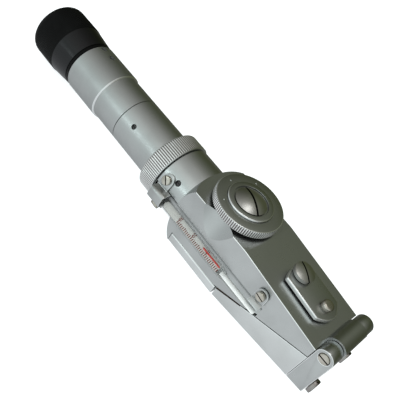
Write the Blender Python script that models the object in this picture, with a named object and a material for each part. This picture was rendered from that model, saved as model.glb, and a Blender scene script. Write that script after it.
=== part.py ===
"""Handheld refractometer, modelled as an assembly of separate pieces.

Metres, +Z up. The row's origin is the foot of the range knob's axis on the
flat underside. +X runs along the optical axis from the eyepiece towards the
hinge of the lid, and -Y is the side that carries the thermometer.
Lengths along the barrel are given from the front face of the union ring,
and heights are given from the optical axis.
"""
import math

import bmesh
import bpy
from mathutils import Matrix, Vector

MM = 0.001

# Clearances and cuts
GAP = 0.3 * MM
SEAM_GAP = 0.5 * MM
OVERRUN = 3.0 * MM
MERGE = 0.001 * MM

# Fineness of round pieces
BIG_SIDES = 32
MID_SIDES = 20
SMALL_SIDES = 12
TINY_SIDES = 8
BORE_SIDES = 20
SMOOTH_ANGLE = math.radians(35.0)

# Barrel tubes
TUBE_RADIUS = 12.5 * MM
TUBE_WALL = 2.0 * MM
TUBE_BORE = TUBE_RADIUS - TUBE_WALL
FLANGE_STEP = 1.2 * MM
FLANGE_RADIUS = TUBE_RADIUS + FLANGE_STEP
FLANGE_LENGTH = 2.1 * MM
PLUG_END = 5.0 * MM
PLUG_WALL = 1.2 * MM
PLUG_BORE = TUBE_BORE - GAP - PLUG_WALL
LOWER_TUBE_LENGTH = 34.25 * MM
MIDDLE_TUBE_LENGTH = 15.4 * MM
JOINT_LENGTH = 12.5 * MM
MIDDLE_WALL = 1.0 * MM
MIDDLE_BORE = TUBE_BORE - GAP - MIDDLE_WALL
UPPER_PLUG_LENGTH = 8.0 * MM
SLEEVE_STEP = 0.7 * MM
SLEEVE_RADIUS = TUBE_RADIUS + SLEEVE_STEP
SLEEVE_WALL = 1.7 * MM
SLEEVE_BORE = SLEEVE_RADIUS - SLEEVE_WALL
SLEEVE_LENGTH = 21.35 * MM
SLEEVE_CHAMFER = 0.5 * MM
TUBE_SCREW_FROM_JOINT = 8.25 * MM
TUBE_SCREW_FROM_RING = LOWER_TUBE_LENGTH - TUBE_SCREW_FROM_JOINT
TUBE_SCREW_ANGLE = math.radians(145.5)
TUBE_SCREW_HOLE = 1.3 * MM
SLEEVE_SCREW_INSET = 1.7 * MM
SLEEVE_SCREW_PITCH = 6.5 * MM
SLEEVE_SCREW_ANGLE = math.radians(82.0)
SLEEVE_SCREW_HOLE = 0.85 * MM
SET_SCREW_SINK = 0.7 * MM

# Union ring
RING_WALL = 2.2 * MM
RING_RADIUS = FLANGE_RADIUS + RING_WALL
RING_LENGTH = 9.0 * MM
RING_ROUND = 1.2 * MM
RING_LIP = 1.3 * MM

# Body casting
SPIGOT_RADIUS = FLANGE_RADIUS + GAP
NECK_STEP = 0.73 * MM
NECK_RADIUS = RING_RADIUS - NECK_STEP
NECK_START = 0.35 * MM
SHOULDER_START = 14.82 * MM
SHOULDER_RADIUS = 12.7 * MM
SHOULDER_SINK = 3.37 * MM
SHOULDER_CENTRE_RADIUS = NECK_RADIUS - SHOULDER_SINK
SHOULDER_STEPS = 6
CORNER_MARGIN = 0.5 * MM
BLOCK_SIDE_STEP = 0.33 * MM
BLOCK_HALF_WIDTH = NECK_RADIUS + BLOCK_SIDE_STEP
BLOCK_TOP_STEP = 0.53 * MM
BLOCK_TOP = NECK_RADIUS + BLOCK_TOP_STEP
AXIAL_BORE_RADIUS = TUBE_BORE
AXIAL_BORE_END = 16.0 * MM
FRONT_LIGHT_RADIUS = 8.0 * MM
SPIGOT_LENGTH = 5.0 * MM
LIGHT_BORE_RADIUS = 6.0 * MM
CHAMBER_PLAY = 0.1 * MM
PORT_RADIUS = 1.4 * MM
PORT_FROM_RING = 8.83 * MM
PORT_ANGLE = math.radians(147.0)
PORT_DEPTH = 4.0 * MM

# Place of the row's origin
FOOT_STEP = 0.83 * MM
AXIS_HEIGHT = NECK_RADIUS + FOOT_STEP
KNOB_FROM_RING = 35.14 * MM

# Base plate
BASE_START = 20.45 * MM
BASE_LENGTH = 29.85 * MM
BASE_THICKNESS = 4.85 * MM
BASE_PROUD = 0.2 * MM
BASE_CHAMFER = 0.4 * MM
BASE_SCREW_X_INSET = 4.0 * MM
BASE_SCREW_Y_INSET = 3.0 * MM
BASE_SCREW_HEAD_RADIUS = 2.0 * MM
BASE_SCREW_HEAD_HEIGHT = 1.4 * MM
BASE_SCREW_SHANK_RADIUS = 1.0 * MM
BASE_SCREW_BITE = 2.6 * MM

# Head of the casting
LID_PLAY = 0.7 * MM
HEAD_BREAK = BASE_START + BASE_LENGTH + LID_PLAY
HEAD_LENGTH = 43.95 * MM
HEAD_END = HEAD_BREAK + HEAD_LENGTH
HEAD_DROP = 4.84 * MM

# Lid
LID_START = HEAD_BREAK
LID_END = HEAD_END
LID_LIFT = 0.2 * MM
LID_RISE = 4.9 * MM

# Hinge
HINGE_OUT = 4.35 * MM
HINGE_X = HEAD_END + HINGE_OUT
HINGE_DROP = 4.5 * MM
HINGE_HEIGHT = BLOCK_TOP - HINGE_DROP
EAR_RADIUS = 4.05 * MM
KNUCKLE_RADIUS = 5.0 * MM
EAR_WIDTH = 7.5 * MM
KNUCKLE_HALF_WIDTH = BLOCK_HALF_WIDTH - EAR_WIDTH
KNUCKLE_NECK_DROP = 4.9 * MM
BRACKET_POCKET_DROP = 5.5 * MM
PIN_RADIUS = 1.5 * MM
PIN_HEAD_RADIUS = 2.25 * MM
PIN_HEAD_DEPTH = 1.0 * MM
PIN_HEAD_PROUD = 0.4 * MM
END_SCREW_INSET = 3.5 * MM
END_SCREW_SPREAD = BLOCK_HALF_WIDTH - END_SCREW_INSET
END_SCREW_RISE = 4.9 * MM
END_SCREW_HEIGHT = LID_LIFT + LID_RISE + END_SCREW_RISE - AXIS_HEIGHT
END_SCREW_HEAD_RADIUS = 3.3 * MM
END_SCREW_HEAD_HEIGHT = 1.9 * MM
END_SCREW_SHANK_RADIUS = 1.5 * MM
END_SCREW_BITE = 6.0 * MM

# Seam between body and lid
SEAM_START = BASE_START + BASE_LENGTH
SEAM_START_RISE = 0.45 * MM
SEAM_START_HEIGHT = SEAM_START_RISE + BASE_THICKNESS - AXIS_HEIGHT
SEAM_END_DROP = 5.9 * MM
SEAM_END_HEIGHT = HINGE_HEIGHT - SEAM_END_DROP
SEAM_OVERSHOOT = 0.35 * MM
SEAM_END = HEAD_END + SEAM_OVERSHOOT

# Prisms and windows
HEAD_WALL = 6.0 * MM
PRISM_HALF_WIDTH = BLOCK_HALF_WIDTH - HEAD_WALL
PRISM_START = 7.0 * MM
PRISM_LENGTH = 30.0 * MM
PRISM_HEIGHT = 9.25 * MM
PRISM_FRONT_LEAN = 3.0 * MM
PRISM_BACK_LEAN = 9.0 * MM
LIGHTING_START = 12.0 * MM
LIGHTING_LENGTH = 26.0 * MM
LIGHTING_HEIGHT = 4.5 * MM
LIGHTING_LEAN = 2.0 * MM
MASK_RIM = 2.2 * MM
MASK_THICKNESS = 0.8 * MM
LID_WINDOW_FROM_START = 25.0 * MM
LID_WINDOW_FROM_RING = LID_START + LID_WINDOW_FROM_START
LID_WINDOW_LENGTH = 15.0 * MM
LID_WINDOW_MARGIN = 3.5 * MM
LID_WINDOW_HALF_WIDTH = PRISM_HALF_WIDTH - LID_WINDOW_MARGIN
LID_WINDOW_THICKNESS = 1.5 * MM
LID_WINDOW_RIM = 1.2 * MM
LID_WINDOW_INSET = 0.2 * MM
TOP_WINDOW_FROM_BREAK = 29.0 * MM
TOP_WINDOW_FROM_RING = HEAD_BREAK + TOP_WINDOW_FROM_BREAK
TOP_WINDOW_RADIUS = 4.2 * MM
TOP_WINDOW_THICKNESS = 1.6 * MM
TOP_WINDOW_LEDGE = 0.9 * MM
TOP_LIGHT_DEPTH = 7.0 * MM

# Light shutter on the top face
PIVOT_TO_WINDOW = 10.2 * MM
SHUTTER_PIVOT = TOP_WINDOW_FROM_RING - PIVOT_TO_WINDOW
SHUTTER_HALF_WIDTH = 7.7 * MM
SHUTTER_BACK = 2.0 * MM
SHUTTER_FRONT = 16.5 * MM
SHUTTER_BACK_BULGE = 2.3 * MM
SHUTTER_FRONT_BULGE = 4.2 * MM
SHUTTER_ARC_STEPS = 8
SHUTTER_THICKNESS = 2.0 * MM
SHUTTER_LIFT = 0.7 * MM
SHUTTER_BOSS_RADIUS = 4.0 * MM
SHUTTER_KNOB_REACH = 15.3 * MM
SHUTTER_KNOB_RADIUS = 2.6 * MM
SHUTTER_KNOB_HEIGHT = 2.6 * MM
SHUTTER_KNOB_STEM_RADIUS = 1.0 * MM
SHUTTER_SCREW_RADIUS = 5.0 * MM
SHUTTER_SCREW_DOME = 1.7 * MM
SHUTTER_SCREW_RIM = 0.4 * MM
SHUTTER_SCREW_SHANK = 1.6 * MM
SHUTTER_SCREW_BITE = 3.5 * MM
SHUTTER_SLOT_ANGLE = math.radians(-20.0)

# Range knob and what it turns
KNOB_PROUD = 0.21 * MM
KNOB_RADIUS = BLOCK_HALF_WIDTH + KNOB_PROUD
KNOB_LIFT = 1.28 * MM
KNOB_UNDERSIDE = BLOCK_TOP + KNOB_LIFT
KNOB_THICKNESS = 3.89 * MM
KNOB_FACE = KNOB_UNDERSIDE + KNOB_THICKNESS
KNOB_CHAMFER = 0.35 * MM
KNOB_DOT_RADIUS = 0.45 * MM
KNOB_DOT_DEPTH = 0.4 * MM
KNOB_DOT_INSET = 3.21 * MM
KNOB_DOT_REACH = KNOB_RADIUS - KNOB_DOT_INSET
KNOB_DOT_ANGLE = math.radians(182.0)
KNOB_STEP = math.radians(60.0)
KNOB_FACE_WIDTH = 5.15 * MM
CLAMP_RADIUS = KNOB_RADIUS - KNOB_FACE_WIDTH
CLAMP_HEIGHT = 0.9 * MM
CLAMP_SINK = 0.6 * MM
CLAMP_RIM = 1.26 * MM
CLAMP_COVE_RADIUS = CLAMP_RADIUS - CLAMP_RIM
CLAMP_COVE_DEPTH = 0.7 * MM
CLAMP_COVE_LEAN = 0.6 * MM
DOME_MARGIN = 2.0 * MM
DOME_RADIUS = CLAMP_COVE_RADIUS - DOME_MARGIN
DOME_HEIGHT = 1.85 * MM
DOME_RIM = 0.3 * MM
DOME_SHANK_RADIUS = 1.6 * MM
DOME_BITE = 6.0 * MM
SLOT_WIDTH = 1.2 * MM
SLOT_DEPTH = 1.2 * MM
SLOT_ANGLE = math.radians(-28.0)
SHAFT_RADIUS = 3.0 * MM
BUSH_RADIUS = 5.0 * MM
BUSH_LENGTH = 5.2 * MM
CHAMBER_WALL = 4.6 * MM
DRUM_RADIUS = BLOCK_HALF_WIDTH - CHAMBER_WALL
CHAMBER_ROOF = 7.0 * MM
DRUM_TOP = BLOCK_TOP - CHAMBER_ROOF
DRUM_LIFT = 0.6 * MM
DRUM_FLOOR = BASE_THICKNESS - AXIS_HEIGHT + DRUM_LIFT
CHANNEL_ROOF = 2.2 * MM
CHANNEL_HALF_HEIGHT = DRUM_TOP - CHANNEL_ROOF
DRUM_SCREW_RADIUS = 2.4 * MM
DRUM_SCREW_HEIGHT = 1.6 * MM
DRUM_SCREW_SHANK = 1.2 * MM
DRUM_SCREW_BITE = 4.5 * MM
SHAFT_IN_DRUM = 1.9 * MM
CHANNEL_SIDE = 7.1 * MM
CHANNEL_HALF_WIDTH = DRUM_RADIUS - CHANNEL_SIDE
RANGE_PRISM_INSET = 0.7 * MM
RANGE_PRISM_REACH = DRUM_RADIUS - RANGE_PRISM_INSET
RANGE_PRISM_THICK = 2.3 * MM
RANGE_PRISM_THIN = 1.2 * MM
DETENT_TO_DRUM = 1.5 * MM
DETENT_FROM_AXIS = DRUM_RADIUS + DETENT_TO_DRUM
DETENT_RADIUS = 1.1 * MM
DETENT_DEPTH = 5.0 * MM
DETENT_WIRE_RADIUS = 0.15 * MM
DETENT_COIL_RADIUS = 0.75 * MM
DETENT_TURNS = 4
COIL_STEPS = 8
WIRE_SIDES = 5
HUB_TO_DETENT = 2.4 * MM
KNOB_HUB_RADIUS = DETENT_FROM_AXIS - HUB_TO_DETENT

# Finger scoops beside the knob
SCOOP_CLEARANCE = 0.89 * MM
SCOOP_RADIUS = KNOB_RADIUS + SCOOP_CLEARANCE
SCOOP_DEPTH = 2.75 * MM
SCOOP_HEIGHT = 10.7 * MM
SCOOP_FROM_KNOB = 0.75 * MM

# Optics in the barrel
OBJECTIVE_FROM_RING = 6.0 * MM
OBJECTIVE_CELL_LENGTH = 8.0 * MM
OBJECTIVE_WALL = 1.7 * MM
OBJECTIVE_RADIUS = AXIAL_BORE_RADIUS - 2.0 * GAP - OBJECTIVE_WALL
OBJECTIVE_THICKNESS = 4.0 * MM
CELL_WALL = 1.2 * MM
LENS_RING = 1.4 * MM
RETICLE_CELL_LENGTH = 4.5 * MM
RETICLE_THICKNESS = 1.5 * MM
RETICLE_LEDGE = 1.2 * MM

# Eyepiece
COLLAR_STEP = 0.15 * MM
COLLAR_RADIUS = SLEEVE_RADIUS - COLLAR_STEP
COLLAR_LENGTH = 1.7 * MM
COLLAR_TO_CAP = 0.3 * MM
CAP_KNURL_LENGTH = 13.9 * MM
CAP_CONE_LENGTH = 10.9 * MM
CAP_STEP = 0.1 * MM
CAP_CONE_END_RADIUS = COLLAR_RADIUS + CAP_STEP
CAP_ROUND = 2.6 * MM
CAP_END_LENGTH = 3.3 * MM
CAP_WEB_START = 11.9 * MM
CAP_WEB = 3.0 * MM
ROUND_STEPS = 3
EYE_PLATE_SINK = 0.3 * MM
EYE_DISH_DEPTH = 2.0 * MM
EYE_THROAT = 2.2 * MM
BUSH_NECK_LENGTH = 11.6 * MM
BUSH_PLUG_LENGTH = 8.0 * MM
LENS_CELL_LENGTH = 30.0 * MM
CELL_FLANGE_LENGTH = 1.5 * MM
EYE_SEAT_DEPTH = 4.2 * MM
EYE_LENS_THICKNESS = 3.2 * MM
FIELD_LENS_THICKNESS = 3.6 * MM
LENS_BULGE = 0.8 * MM
CONE_RISE = 1.25 * MM
CAP_KNURL_RADIUS = CAP_CONE_END_RADIUS + CONE_RISE
BUSH_PLUG_RADIUS = SLEEVE_BORE - GAP
BUSH_NECK_STEP = 0.7 * MM
BUSH_NECK_RADIUS = BUSH_PLUG_RADIUS + BUSH_NECK_STEP
BUSH_WALL = 1.3 * MM
BUSH_BORE = BUSH_PLUG_RADIUS - BUSH_WALL
CAP_NECK_BORE = BUSH_NECK_RADIUS + GAP
LENS_CELL_RADIUS = BUSH_BORE - GAP
LENS_CELL_WALL = 1.0 * MM
LENS_CELL_BORE = LENS_CELL_RADIUS - LENS_CELL_WALL
CELL_LIP = 1.2 * MM
CELL_LIP_BORE = LENS_CELL_BORE - CELL_LIP
CELL_FLANGE_STEP = 1.2 * MM
CELL_FLANGE_RADIUS = LENS_CELL_RADIUS + CELL_FLANGE_STEP
EYE_PLATE_RADIUS = CELL_FLANGE_RADIUS + GAP
CAP_EYE_BORE = EYE_PLATE_RADIUS + GAP
EYE_RIM = 0.5 * MM
EYE_DISH_RADIUS = EYE_PLATE_RADIUS - EYE_RIM
EYE_SKIRT_WALL = 1.4 * MM
EYE_SKIRT_BORE = EYE_PLATE_RADIUS - EYE_SKIRT_WALL
EYE_LIP = 1.7 * MM
EYE_OPENING = EYE_SKIRT_BORE - EYE_LIP

# Thermometer and its clips
GROOVE_RADIUS = 4.5 * MM
GROOVE_OUT = 2.33 * MM
THERMO_HEIGHT = -1.15 * MM
THERMO_OUT = 1.3 * MM
THERMO_START = 3.6 * MM
THERMO_TUBE_RADIUS = 2.45 * MM
THERMO_TUBE_LENGTH = 45.2 * MM
THERMO_FUNNEL = 2.2 * MM
THERMO_WALL = 0.35 * MM
THERMO_STEM_RADIUS = 1.1 * MM
THERMO_SCALE_THICKNESS = 0.5 * MM
THERMO_SCALE_BACK = 0.6 * MM
THERMO_SCALE_HALF_WIDTH = 1.65 * MM
THERMO_SCALE_INSET = 1.5 * MM
THERMO_TILT = math.radians(44.4)
THERMO_COLUMN_SIDE = 0.7 * MM
THERMO_COLUMN_LENGTH = 11.0 * MM
THERMO_COLUMN_START = THERMO_TUBE_LENGTH - THERMO_SCALE_INSET - THERMO_COLUMN_LENGTH
THERMO_COLUMN_RADIUS = 0.35 * MM
CLIP_THICKNESS = 0.8 * MM
CLIP_SCREW_HEAD_RADIUS = 2.15 * MM
CLIP_SCREW_HEAD_HEIGHT = 1.3 * MM
CLIP_SCREW_SHANK_RADIUS = 0.9 * MM
CLIP_SCREW_BITE = 1.6 * MM
CLIP_TAB_STEPS = 4
FOOT_HALF_WIDTH = 3.0 * MM
FOOT_TIP = 3.2 * MM
UPPER_FOOT_CENTRE = 4.9 * MM
UPPER_FOOT_ANGLE = math.radians(24.0)
LOWER_FOOT_ANGLE = math.radians(-35.0)
SADDLE_START = 2.4 * MM
SADDLE_LENGTH = 7.8 * MM
SADDLE_TOP = 2.1 * MM
SADDLE_FOOT = -3.9 * MM
SADDLE_CORNER = 0.8 * MM
LOWER_CLIP_RADIUS = 2.9 * MM
LOWER_CLIP_SCREW_HEIGHT = 8.3 * MM
LOWER_CLIP_BEND = 2.3 * MM
LOWER_CLIP_REACH = 1.1 * MM
LOWER_CLIP_FROM_BREAK = 16.25 * MM
LOWER_CLIP_CENTRE = HEAD_BREAK + LOWER_CLIP_FROM_BREAK
GROOVE_PAST_CLIP = 3.55 * MM
GROOVE_LENGTH = LOWER_CLIP_CENTRE + GROOVE_PAST_CLIP
STEM_PAST_CLIP = 2.55 * MM
STEM_START = THERMO_START + THERMO_TUBE_LENGTH + GAP + THERMO_FUNNEL
THERMO_STEM_LENGTH = LOWER_CLIP_CENTRE + STEM_PAST_CLIP - STEM_START

# Colours: base colour, metallic, roughness
SATIN = ((0.62, 0.64, 0.65), 1.0, 0.35)
BRIGHT = ((0.72, 0.72, 0.70), 1.0, 0.25)
NICKEL = ((0.60, 0.58, 0.52), 1.0, 0.30)
BRASS = ((0.62, 0.47, 0.20), 1.0, 0.35)
BLACK = ((0.015, 0.016, 0.017), 0.0, 0.30)
DARK = ((0.05, 0.05, 0.05), 0.6, 0.50)
GLASS = ((0.85, 0.90, 0.90), 0.0, 0.05)
MILK = ((0.86, 0.85, 0.82), 0.0, 0.30)
RED = ((0.60, 0.03, 0.02), 0.0, 0.30)
WHITE = ((0.90, 0.91, 0.90), 0.0, 0.20)

X_AXIS = Vector((1.0, 0.0, 0.0))
Y_AXIS = Vector((0.0, 1.0, 0.0))
Z_AXIS = Vector((0.0, 0.0, 1.0))
TURN = 2.0 * math.pi


# Places

def along(distance):
    """X of a distance from the union ring's front face."""
    return distance - KNOB_FROM_RING


def up(height):
    """Z of a height above the optical axis."""
    return height + AXIS_HEIGHT


def seam_height(distance):
    """Height of the middle of the seam at a distance from the ring face."""
    share = (distance - SEAM_START) / (SEAM_END - SEAM_START)
    return SEAM_START_HEIGHT + share * (SEAM_END_HEIGHT - SEAM_START_HEIGHT)


def seam_point(run, rise, side=0.0):
    """World point at a run along the seam and a rise square to it."""
    tilt = seam_tilt()
    x = along(SEAM_START) + run * math.cos(tilt) - rise * math.sin(tilt)
    z = up(SEAM_START_HEIGHT) + run * math.sin(tilt) + rise * math.cos(tilt)
    return Vector((x, side, z))


def seam_tilt():
    """Angle of the seam to the optical axis."""
    return math.atan2(SEAM_END_HEIGHT - SEAM_START_HEIGHT, SEAM_END - SEAM_START)


def top_tilt():
    """Angle by which the head's top face falls towards the hinge."""
    return math.atan2(HEAD_DROP, HEAD_END - HEAD_BREAK)


def top_point(distance, side=0.0, rise=0.0):
    """World point over the head's falling top face, by a rise square to it."""
    tilt = top_tilt()
    fall = (distance - HEAD_BREAK) * math.tan(tilt)
    x = along(distance) + rise * math.sin(tilt)
    z = up(BLOCK_TOP - fall) + rise * math.cos(tilt)
    return Vector((x, side, z))


def top_normal():
    """Normal of the head's falling top face."""
    return Vector((math.sin(top_tilt()), 0.0, math.cos(top_tilt())))


def lid_bottom(distance):
    """Height of the lid's underside at a distance from the ring face."""
    share = (distance - LID_START) / (LID_END - LID_START)
    return LID_LIFT - AXIS_HEIGHT + share * LID_RISE


def polar(radius, angle):
    """Point (y, height) at an angle from the +Y direction about the axis."""
    return radius * math.cos(angle), radius * math.sin(angle)


def radial(distance, radius, angle):
    """World point at a radius and angle about the optical axis."""
    y, height = polar(radius, angle)
    return Vector((along(distance), y, up(height)))


# Mesh building

def new_object(name, bm):
    """Object whose mesh is in world coordinates for now."""
    bmesh.ops.remove_doubles(bm, verts=bm.verts, dist=MERGE)
    bmesh.ops.recalc_face_normals(bm, faces=bm.faces)
    mesh = bpy.data.meshes.new(name)
    bm.to_mesh(mesh)
    bm.free()
    obj = bpy.data.objects.new(name, mesh)
    bpy.context.scene.collection.objects.link(obj)
    return obj


def frame_of(axis, start):
    """Matrix that takes local Z to an axis through a start point."""
    turn = Z_AXIS.rotation_difference(axis.normalized()).to_matrix().to_4x4()
    return Matrix.Translation(start) @ turn


def lathe(name, start, axis, profile, sides):
    """Turned solid: profile is a list of (run along the axis, radius).

    A profile whose first and last radius is zero is solid, and any other
    is a closed loop round a bore.
    """
    bm = bmesh.new()
    solid = profile[0][1] == 0.0
    flat_low = solid and profile[0][0] == profile[1][0]
    flat_high = solid and profile[-1][0] == profile[-2][0]
    rings = []
    for run, radius in profile[int(flat_low):len(profile) - int(flat_high)]:
        if radius == 0.0:
            rings.append([bm.verts.new((0.0, 0.0, run))])
            continue
        rings.append([
            bm.verts.new((radius * math.cos(TURN * k / sides),
                          radius * math.sin(TURN * k / sides), run))
            for k in range(sides)])
    if flat_low:
        bm.faces.new(rings[0])
    if flat_high:
        bm.faces.new(rings[-1])
    pairs = list(zip(rings, rings[1:]))
    if not solid:
        pairs.append((rings[-1], rings[0]))
    for low, high in pairs:
        for k in range(sides):
            nxt = (k + 1) % sides
            corners = [low[k % len(low)], low[nxt % len(low)],
                       high[nxt % len(high)], high[k % len(high)]]
            face = []
            for corner in corners:
                if corner not in face:
                    face.append(corner)
            bm.faces.new(face)
    bm.transform(frame_of(axis, start))
    return new_object(name, bm)


def rod(name, start, axis, length, radius, sides):
    """Plain round bar."""
    return lathe(name, start, axis,
                 [(0.0, 0.0), (0.0, radius), (length, radius), (length, 0.0)], sides)


def tube(name, start, axis, length, radius, bore, sides):
    """Plain tube."""
    return lathe(name, start, axis,
                 [(0.0, bore), (0.0, radius), (length, radius), (length, bore)], sides)


def prism(name, corners, direction):
    """Solid between a flat outline and its copy moved by a direction."""
    bm = bmesh.new()
    base = [bm.verts.new(c) for c in corners]
    face = bm.faces.new(base)
    made = bmesh.ops.extrude_face_region(bm, geom=[face])
    moved = [v for v in made["geom"] if isinstance(v, bmesh.types.BMVert)]
    bmesh.ops.translate(bm, verts=moved, vec=direction)
    return new_object(name, bm)


def side_outline(points, half_width):
    """World corners of a side view, on the -Y side; points are (distance, height)."""
    return [Vector((along(x), -half_width, up(z))) for x, z in points]


def slab(name, points, half_width):
    """Solid across Y from a side view outline."""
    return prism(name, side_outline(points, half_width),
                 Vector((0.0, 2.0 * half_width, 0.0)))


def strip(name, stations, thickness):
    """Bent sheet: each station is (point, outward normal, side, low run, high run)."""
    bm = bmesh.new()
    rows = []
    for point, normal, side, low, high in stations:
        rows.append([bm.verts.new(point + side * run + normal * rise)
                     for run, rise in ((low, 0.0), (high, 0.0),
                                       (high, thickness), (low, thickness))])
    for a, b in zip(rows, rows[1:]):
        for k in range(len(a)):
            nxt = (k + 1) % len(a)
            bm.faces.new((a[k], a[nxt], b[nxt], b[k]))
    bm.faces.new(rows[0])
    bm.faces.new(rows[-1])
    return new_object(name, bm)


def boolean(target, tool, operation):
    """Join or cut, applied at once, and the tool goes."""
    tool.hide_render = True
    tool.display_type = "WIRE"
    modifier = target.modifiers.new(operation, "BOOLEAN")
    modifier.operation = operation
    modifier.solver = "EXACT"
    modifier.object = tool
    depsgraph = bpy.context.evaluated_depsgraph_get()
    mesh = bpy.data.meshes.new_from_object(target.evaluated_get(depsgraph))
    target.modifiers.clear()
    old = target.data
    target.data = mesh
    bpy.data.meshes.remove(old)
    bpy.data.objects.remove(tool)
    return target


def cut(target, *tools):
    """Cut tools from a target."""
    for tool in tools:
        boolean(target, tool, "DIFFERENCE")
    return target


def join(target, *tools):
    """Join tools to a target they overlap."""
    for tool in tools:
        boolean(target, tool, "UNION")
    return target


def hole(start, axis, depth, radius, sides=TINY_SIDES):
    """Cutter of a round hole whose mouth is at start, along an inward axis."""
    begin = start - axis.normalized() * OVERRUN
    return rod("hole", begin, axis, depth + OVERRUN, radius, sides)


def pivot(name, point):
    """Empty on a joint's axis."""
    empty = bpy.data.objects.new(name, None)
    empty.location = point
    bpy.context.scene.collection.objects.link(empty)
    return empty


def material(name, finish):
    """Principled material of a finish."""
    colour, metallic, roughness = finish
    made = bpy.data.materials.new(name)
    made.use_nodes = True
    shader = made.node_tree.nodes["Principled BSDF"]
    shader.inputs["Base Color"].default_value = (*colour, 1.0)
    shader.inputs["Metallic"].default_value = metallic
    shader.inputs["Roughness"].default_value = roughness
    return made


def place(parent, look, *pieces):
    """Shade the pieces and hang them on an empty, with their origins on it."""
    for obj in pieces:
        obj.data.name = obj.name
        obj.data.transform(Matrix.Translation(-parent.location))
        obj.parent = parent
        obj.data.materials.clear()
        obj.data.materials.append(material(obj.name, look))
        obj.data.shade_smooth()
        obj.data.set_sharp_from_angle(angle=SMOOTH_ANGLE)


def dome_profile(base, rim, dome, radius, steps=6):
    """Profile of a domed head, from its rim's foot to the crown."""
    crown = (radius * radius + dome * dome) / (2.0 * dome)
    points = [(base, radius), (base + rim, radius)]
    for k in range(1, steps):
        share = 1.0 - k / steps
        r = radius * share
        rise = math.sqrt(crown * crown - r * r) - (crown - dome)
        points.append((base + rim + rise, r))
    points.append((base + rim + dome, 0.0))
    return points


def slot_cut(crown, axis, slot_way, radius, depth):
    """Cutter of a driver slot whose floor is a depth below the crown."""
    side = axis.cross(slot_way).normalized()
    reach = radius + OVERRUN
    low = crown - axis * depth
    corners = [low + slot_way * reach + side * SLOT_WIDTH / 2.0,
               low - slot_way * reach + side * SLOT_WIDTH / 2.0,
               low - slot_way * reach - side * SLOT_WIDTH / 2.0,
               low + slot_way * reach - side * SLOT_WIDTH / 2.0]
    return prism("slot", corners, axis * (depth + OVERRUN))


def cheese_screw(name, start, axis, slot_way, head_radius, head_height, shank_radius, bite):
    """Slotted screw: start is under the head and axis points out of the head."""
    bevel = head_height / 4.0
    profile = [(-bite, 0.0), (-bite, shank_radius), (0.0, shank_radius),
               (0.0, head_radius), (head_height - bevel, head_radius),
               (head_height, head_radius - bevel), (head_height, 0.0)]
    screw = lathe(name, start, axis, profile, SMALL_SIDES)
    crown = start + axis * head_height
    return cut(screw, slot_cut(crown, axis, slot_way, head_radius, head_height / 2.0))


def axial(name, profile, sides, y=0.0, height=0.0):
    """Turned solid along the barrel; runs are distances from the ring face."""
    start = Vector((along(0.0), y, up(height)))
    return lathe(name, start, X_AXIS, profile, sides)


def bar(name, low, high, radius, sides, y=0.0, height=0.0):
    """Round bar along the barrel between two distances from the ring face."""
    profile = [(low, 0.0), (low, radius), (high, radius), (high, 0.0)]
    return axial(name, profile, sides, y, height)


def sleeve(name, low, high, radius, bore, sides):
    """Plain tube along the barrel."""
    return axial(name, [(low, bore), (low, radius), (high, radius), (high, bore)], sides)


def upright(name, low, high, radius, sides, distance=KNOB_FROM_RING, y=0.0):
    """Vertical round bar between two heights over the optical axis."""
    start = Vector((along(distance), y, up(low)))
    return rod(name, start, Z_AXIS, high - low, radius, sides)


def across(name, distance, height, half_width, radius, sides):
    """Round bar along Y, centred on the middle plane."""
    start = Vector((along(distance), -half_width, up(height)))
    return rod(name, start, Y_AXIS, 2.0 * half_width, radius, sides)


def grown(points, distance):
    """Convex anticlockwise outline moved outward on every side."""
    out = []
    count = len(points)
    for k in range(count):
        here = Vector(points[k])
        before = (here - Vector(points[k - 1])).normalized()
        after = (Vector(points[(k + 1) % count]) - here).normalized()
        first = Vector((before.y, -before.x))
        second = Vector((after.y, -after.x))
        shift = (first + second) / (1.0 + first.dot(second))
        moved = here + shift * distance
        out.append((moved.x, moved.y))
    return out


def seam_solid(name, outline, half_width):
    """Solid across Y from an outline of (run, rise) points on the seam."""
    corners = [seam_point(run, rise, -half_width) for run, rise in outline]
    return prism(name, corners, Vector((0.0, 2.0 * half_width, 0.0)))


def seam_block(name, low, high, floor, top, half_width):
    """Rectangular block on the seam between two runs and two rises."""
    outline = [(low, floor), (high, floor), (high, top), (low, top)]
    return seam_solid(name, outline, half_width)


def frame_plate(name, block, low, high, floor, top, half_width, rim):
    """Rectangular frame: a block with a smaller block cut through it."""
    plate = block(name, low, high, floor, top, half_width)
    inner = block("hole", low + rim, high - rim, floor - OVERRUN, top + OVERRUN,
                  half_width - rim)
    return cut(plate, inner)


def lid_point(run, rise, side=0.0):
    """World point at a run along the lid's underside and a rise square to it."""
    tilt = lid_tilt()
    x = along(LID_START) + run * math.cos(tilt) - rise * math.sin(tilt)
    z = up(lid_bottom(LID_START)) + run * math.sin(tilt) + rise * math.cos(tilt)
    return Vector((x, side, z))


def lid_tilt():
    """Angle of the lid's underside to the optical axis."""
    return math.atan2(LID_RISE, LID_END - LID_START)


def lid_block(name, low, high, floor, top, half_width):
    """Rectangular block on the lid's underside between two runs and two rises."""
    corners = [lid_point(run, rise, -half_width)
               for run, rise in ((low, floor), (high, floor), (high, top), (low, top))]
    return prism(name, corners, Vector((0.0, 2.0 * half_width, 0.0)))


def seam_line(distance, rise):
    """Height of the line beside the seam at a rise square to it."""
    return seam_height(distance) + rise / math.cos(seam_tilt())


def measuring_outline():
    """Section of the measuring prism on the seam, anticlockwise."""
    face = SEAM_GAP / 2.0
    end = PRISM_START + PRISM_LENGTH
    return [(PRISM_START, face), (end, face),
            (end - PRISM_BACK_LEAN, face + PRISM_HEIGHT),
            (PRISM_START + PRISM_FRONT_LEAN, face + PRISM_HEIGHT)]


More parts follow.
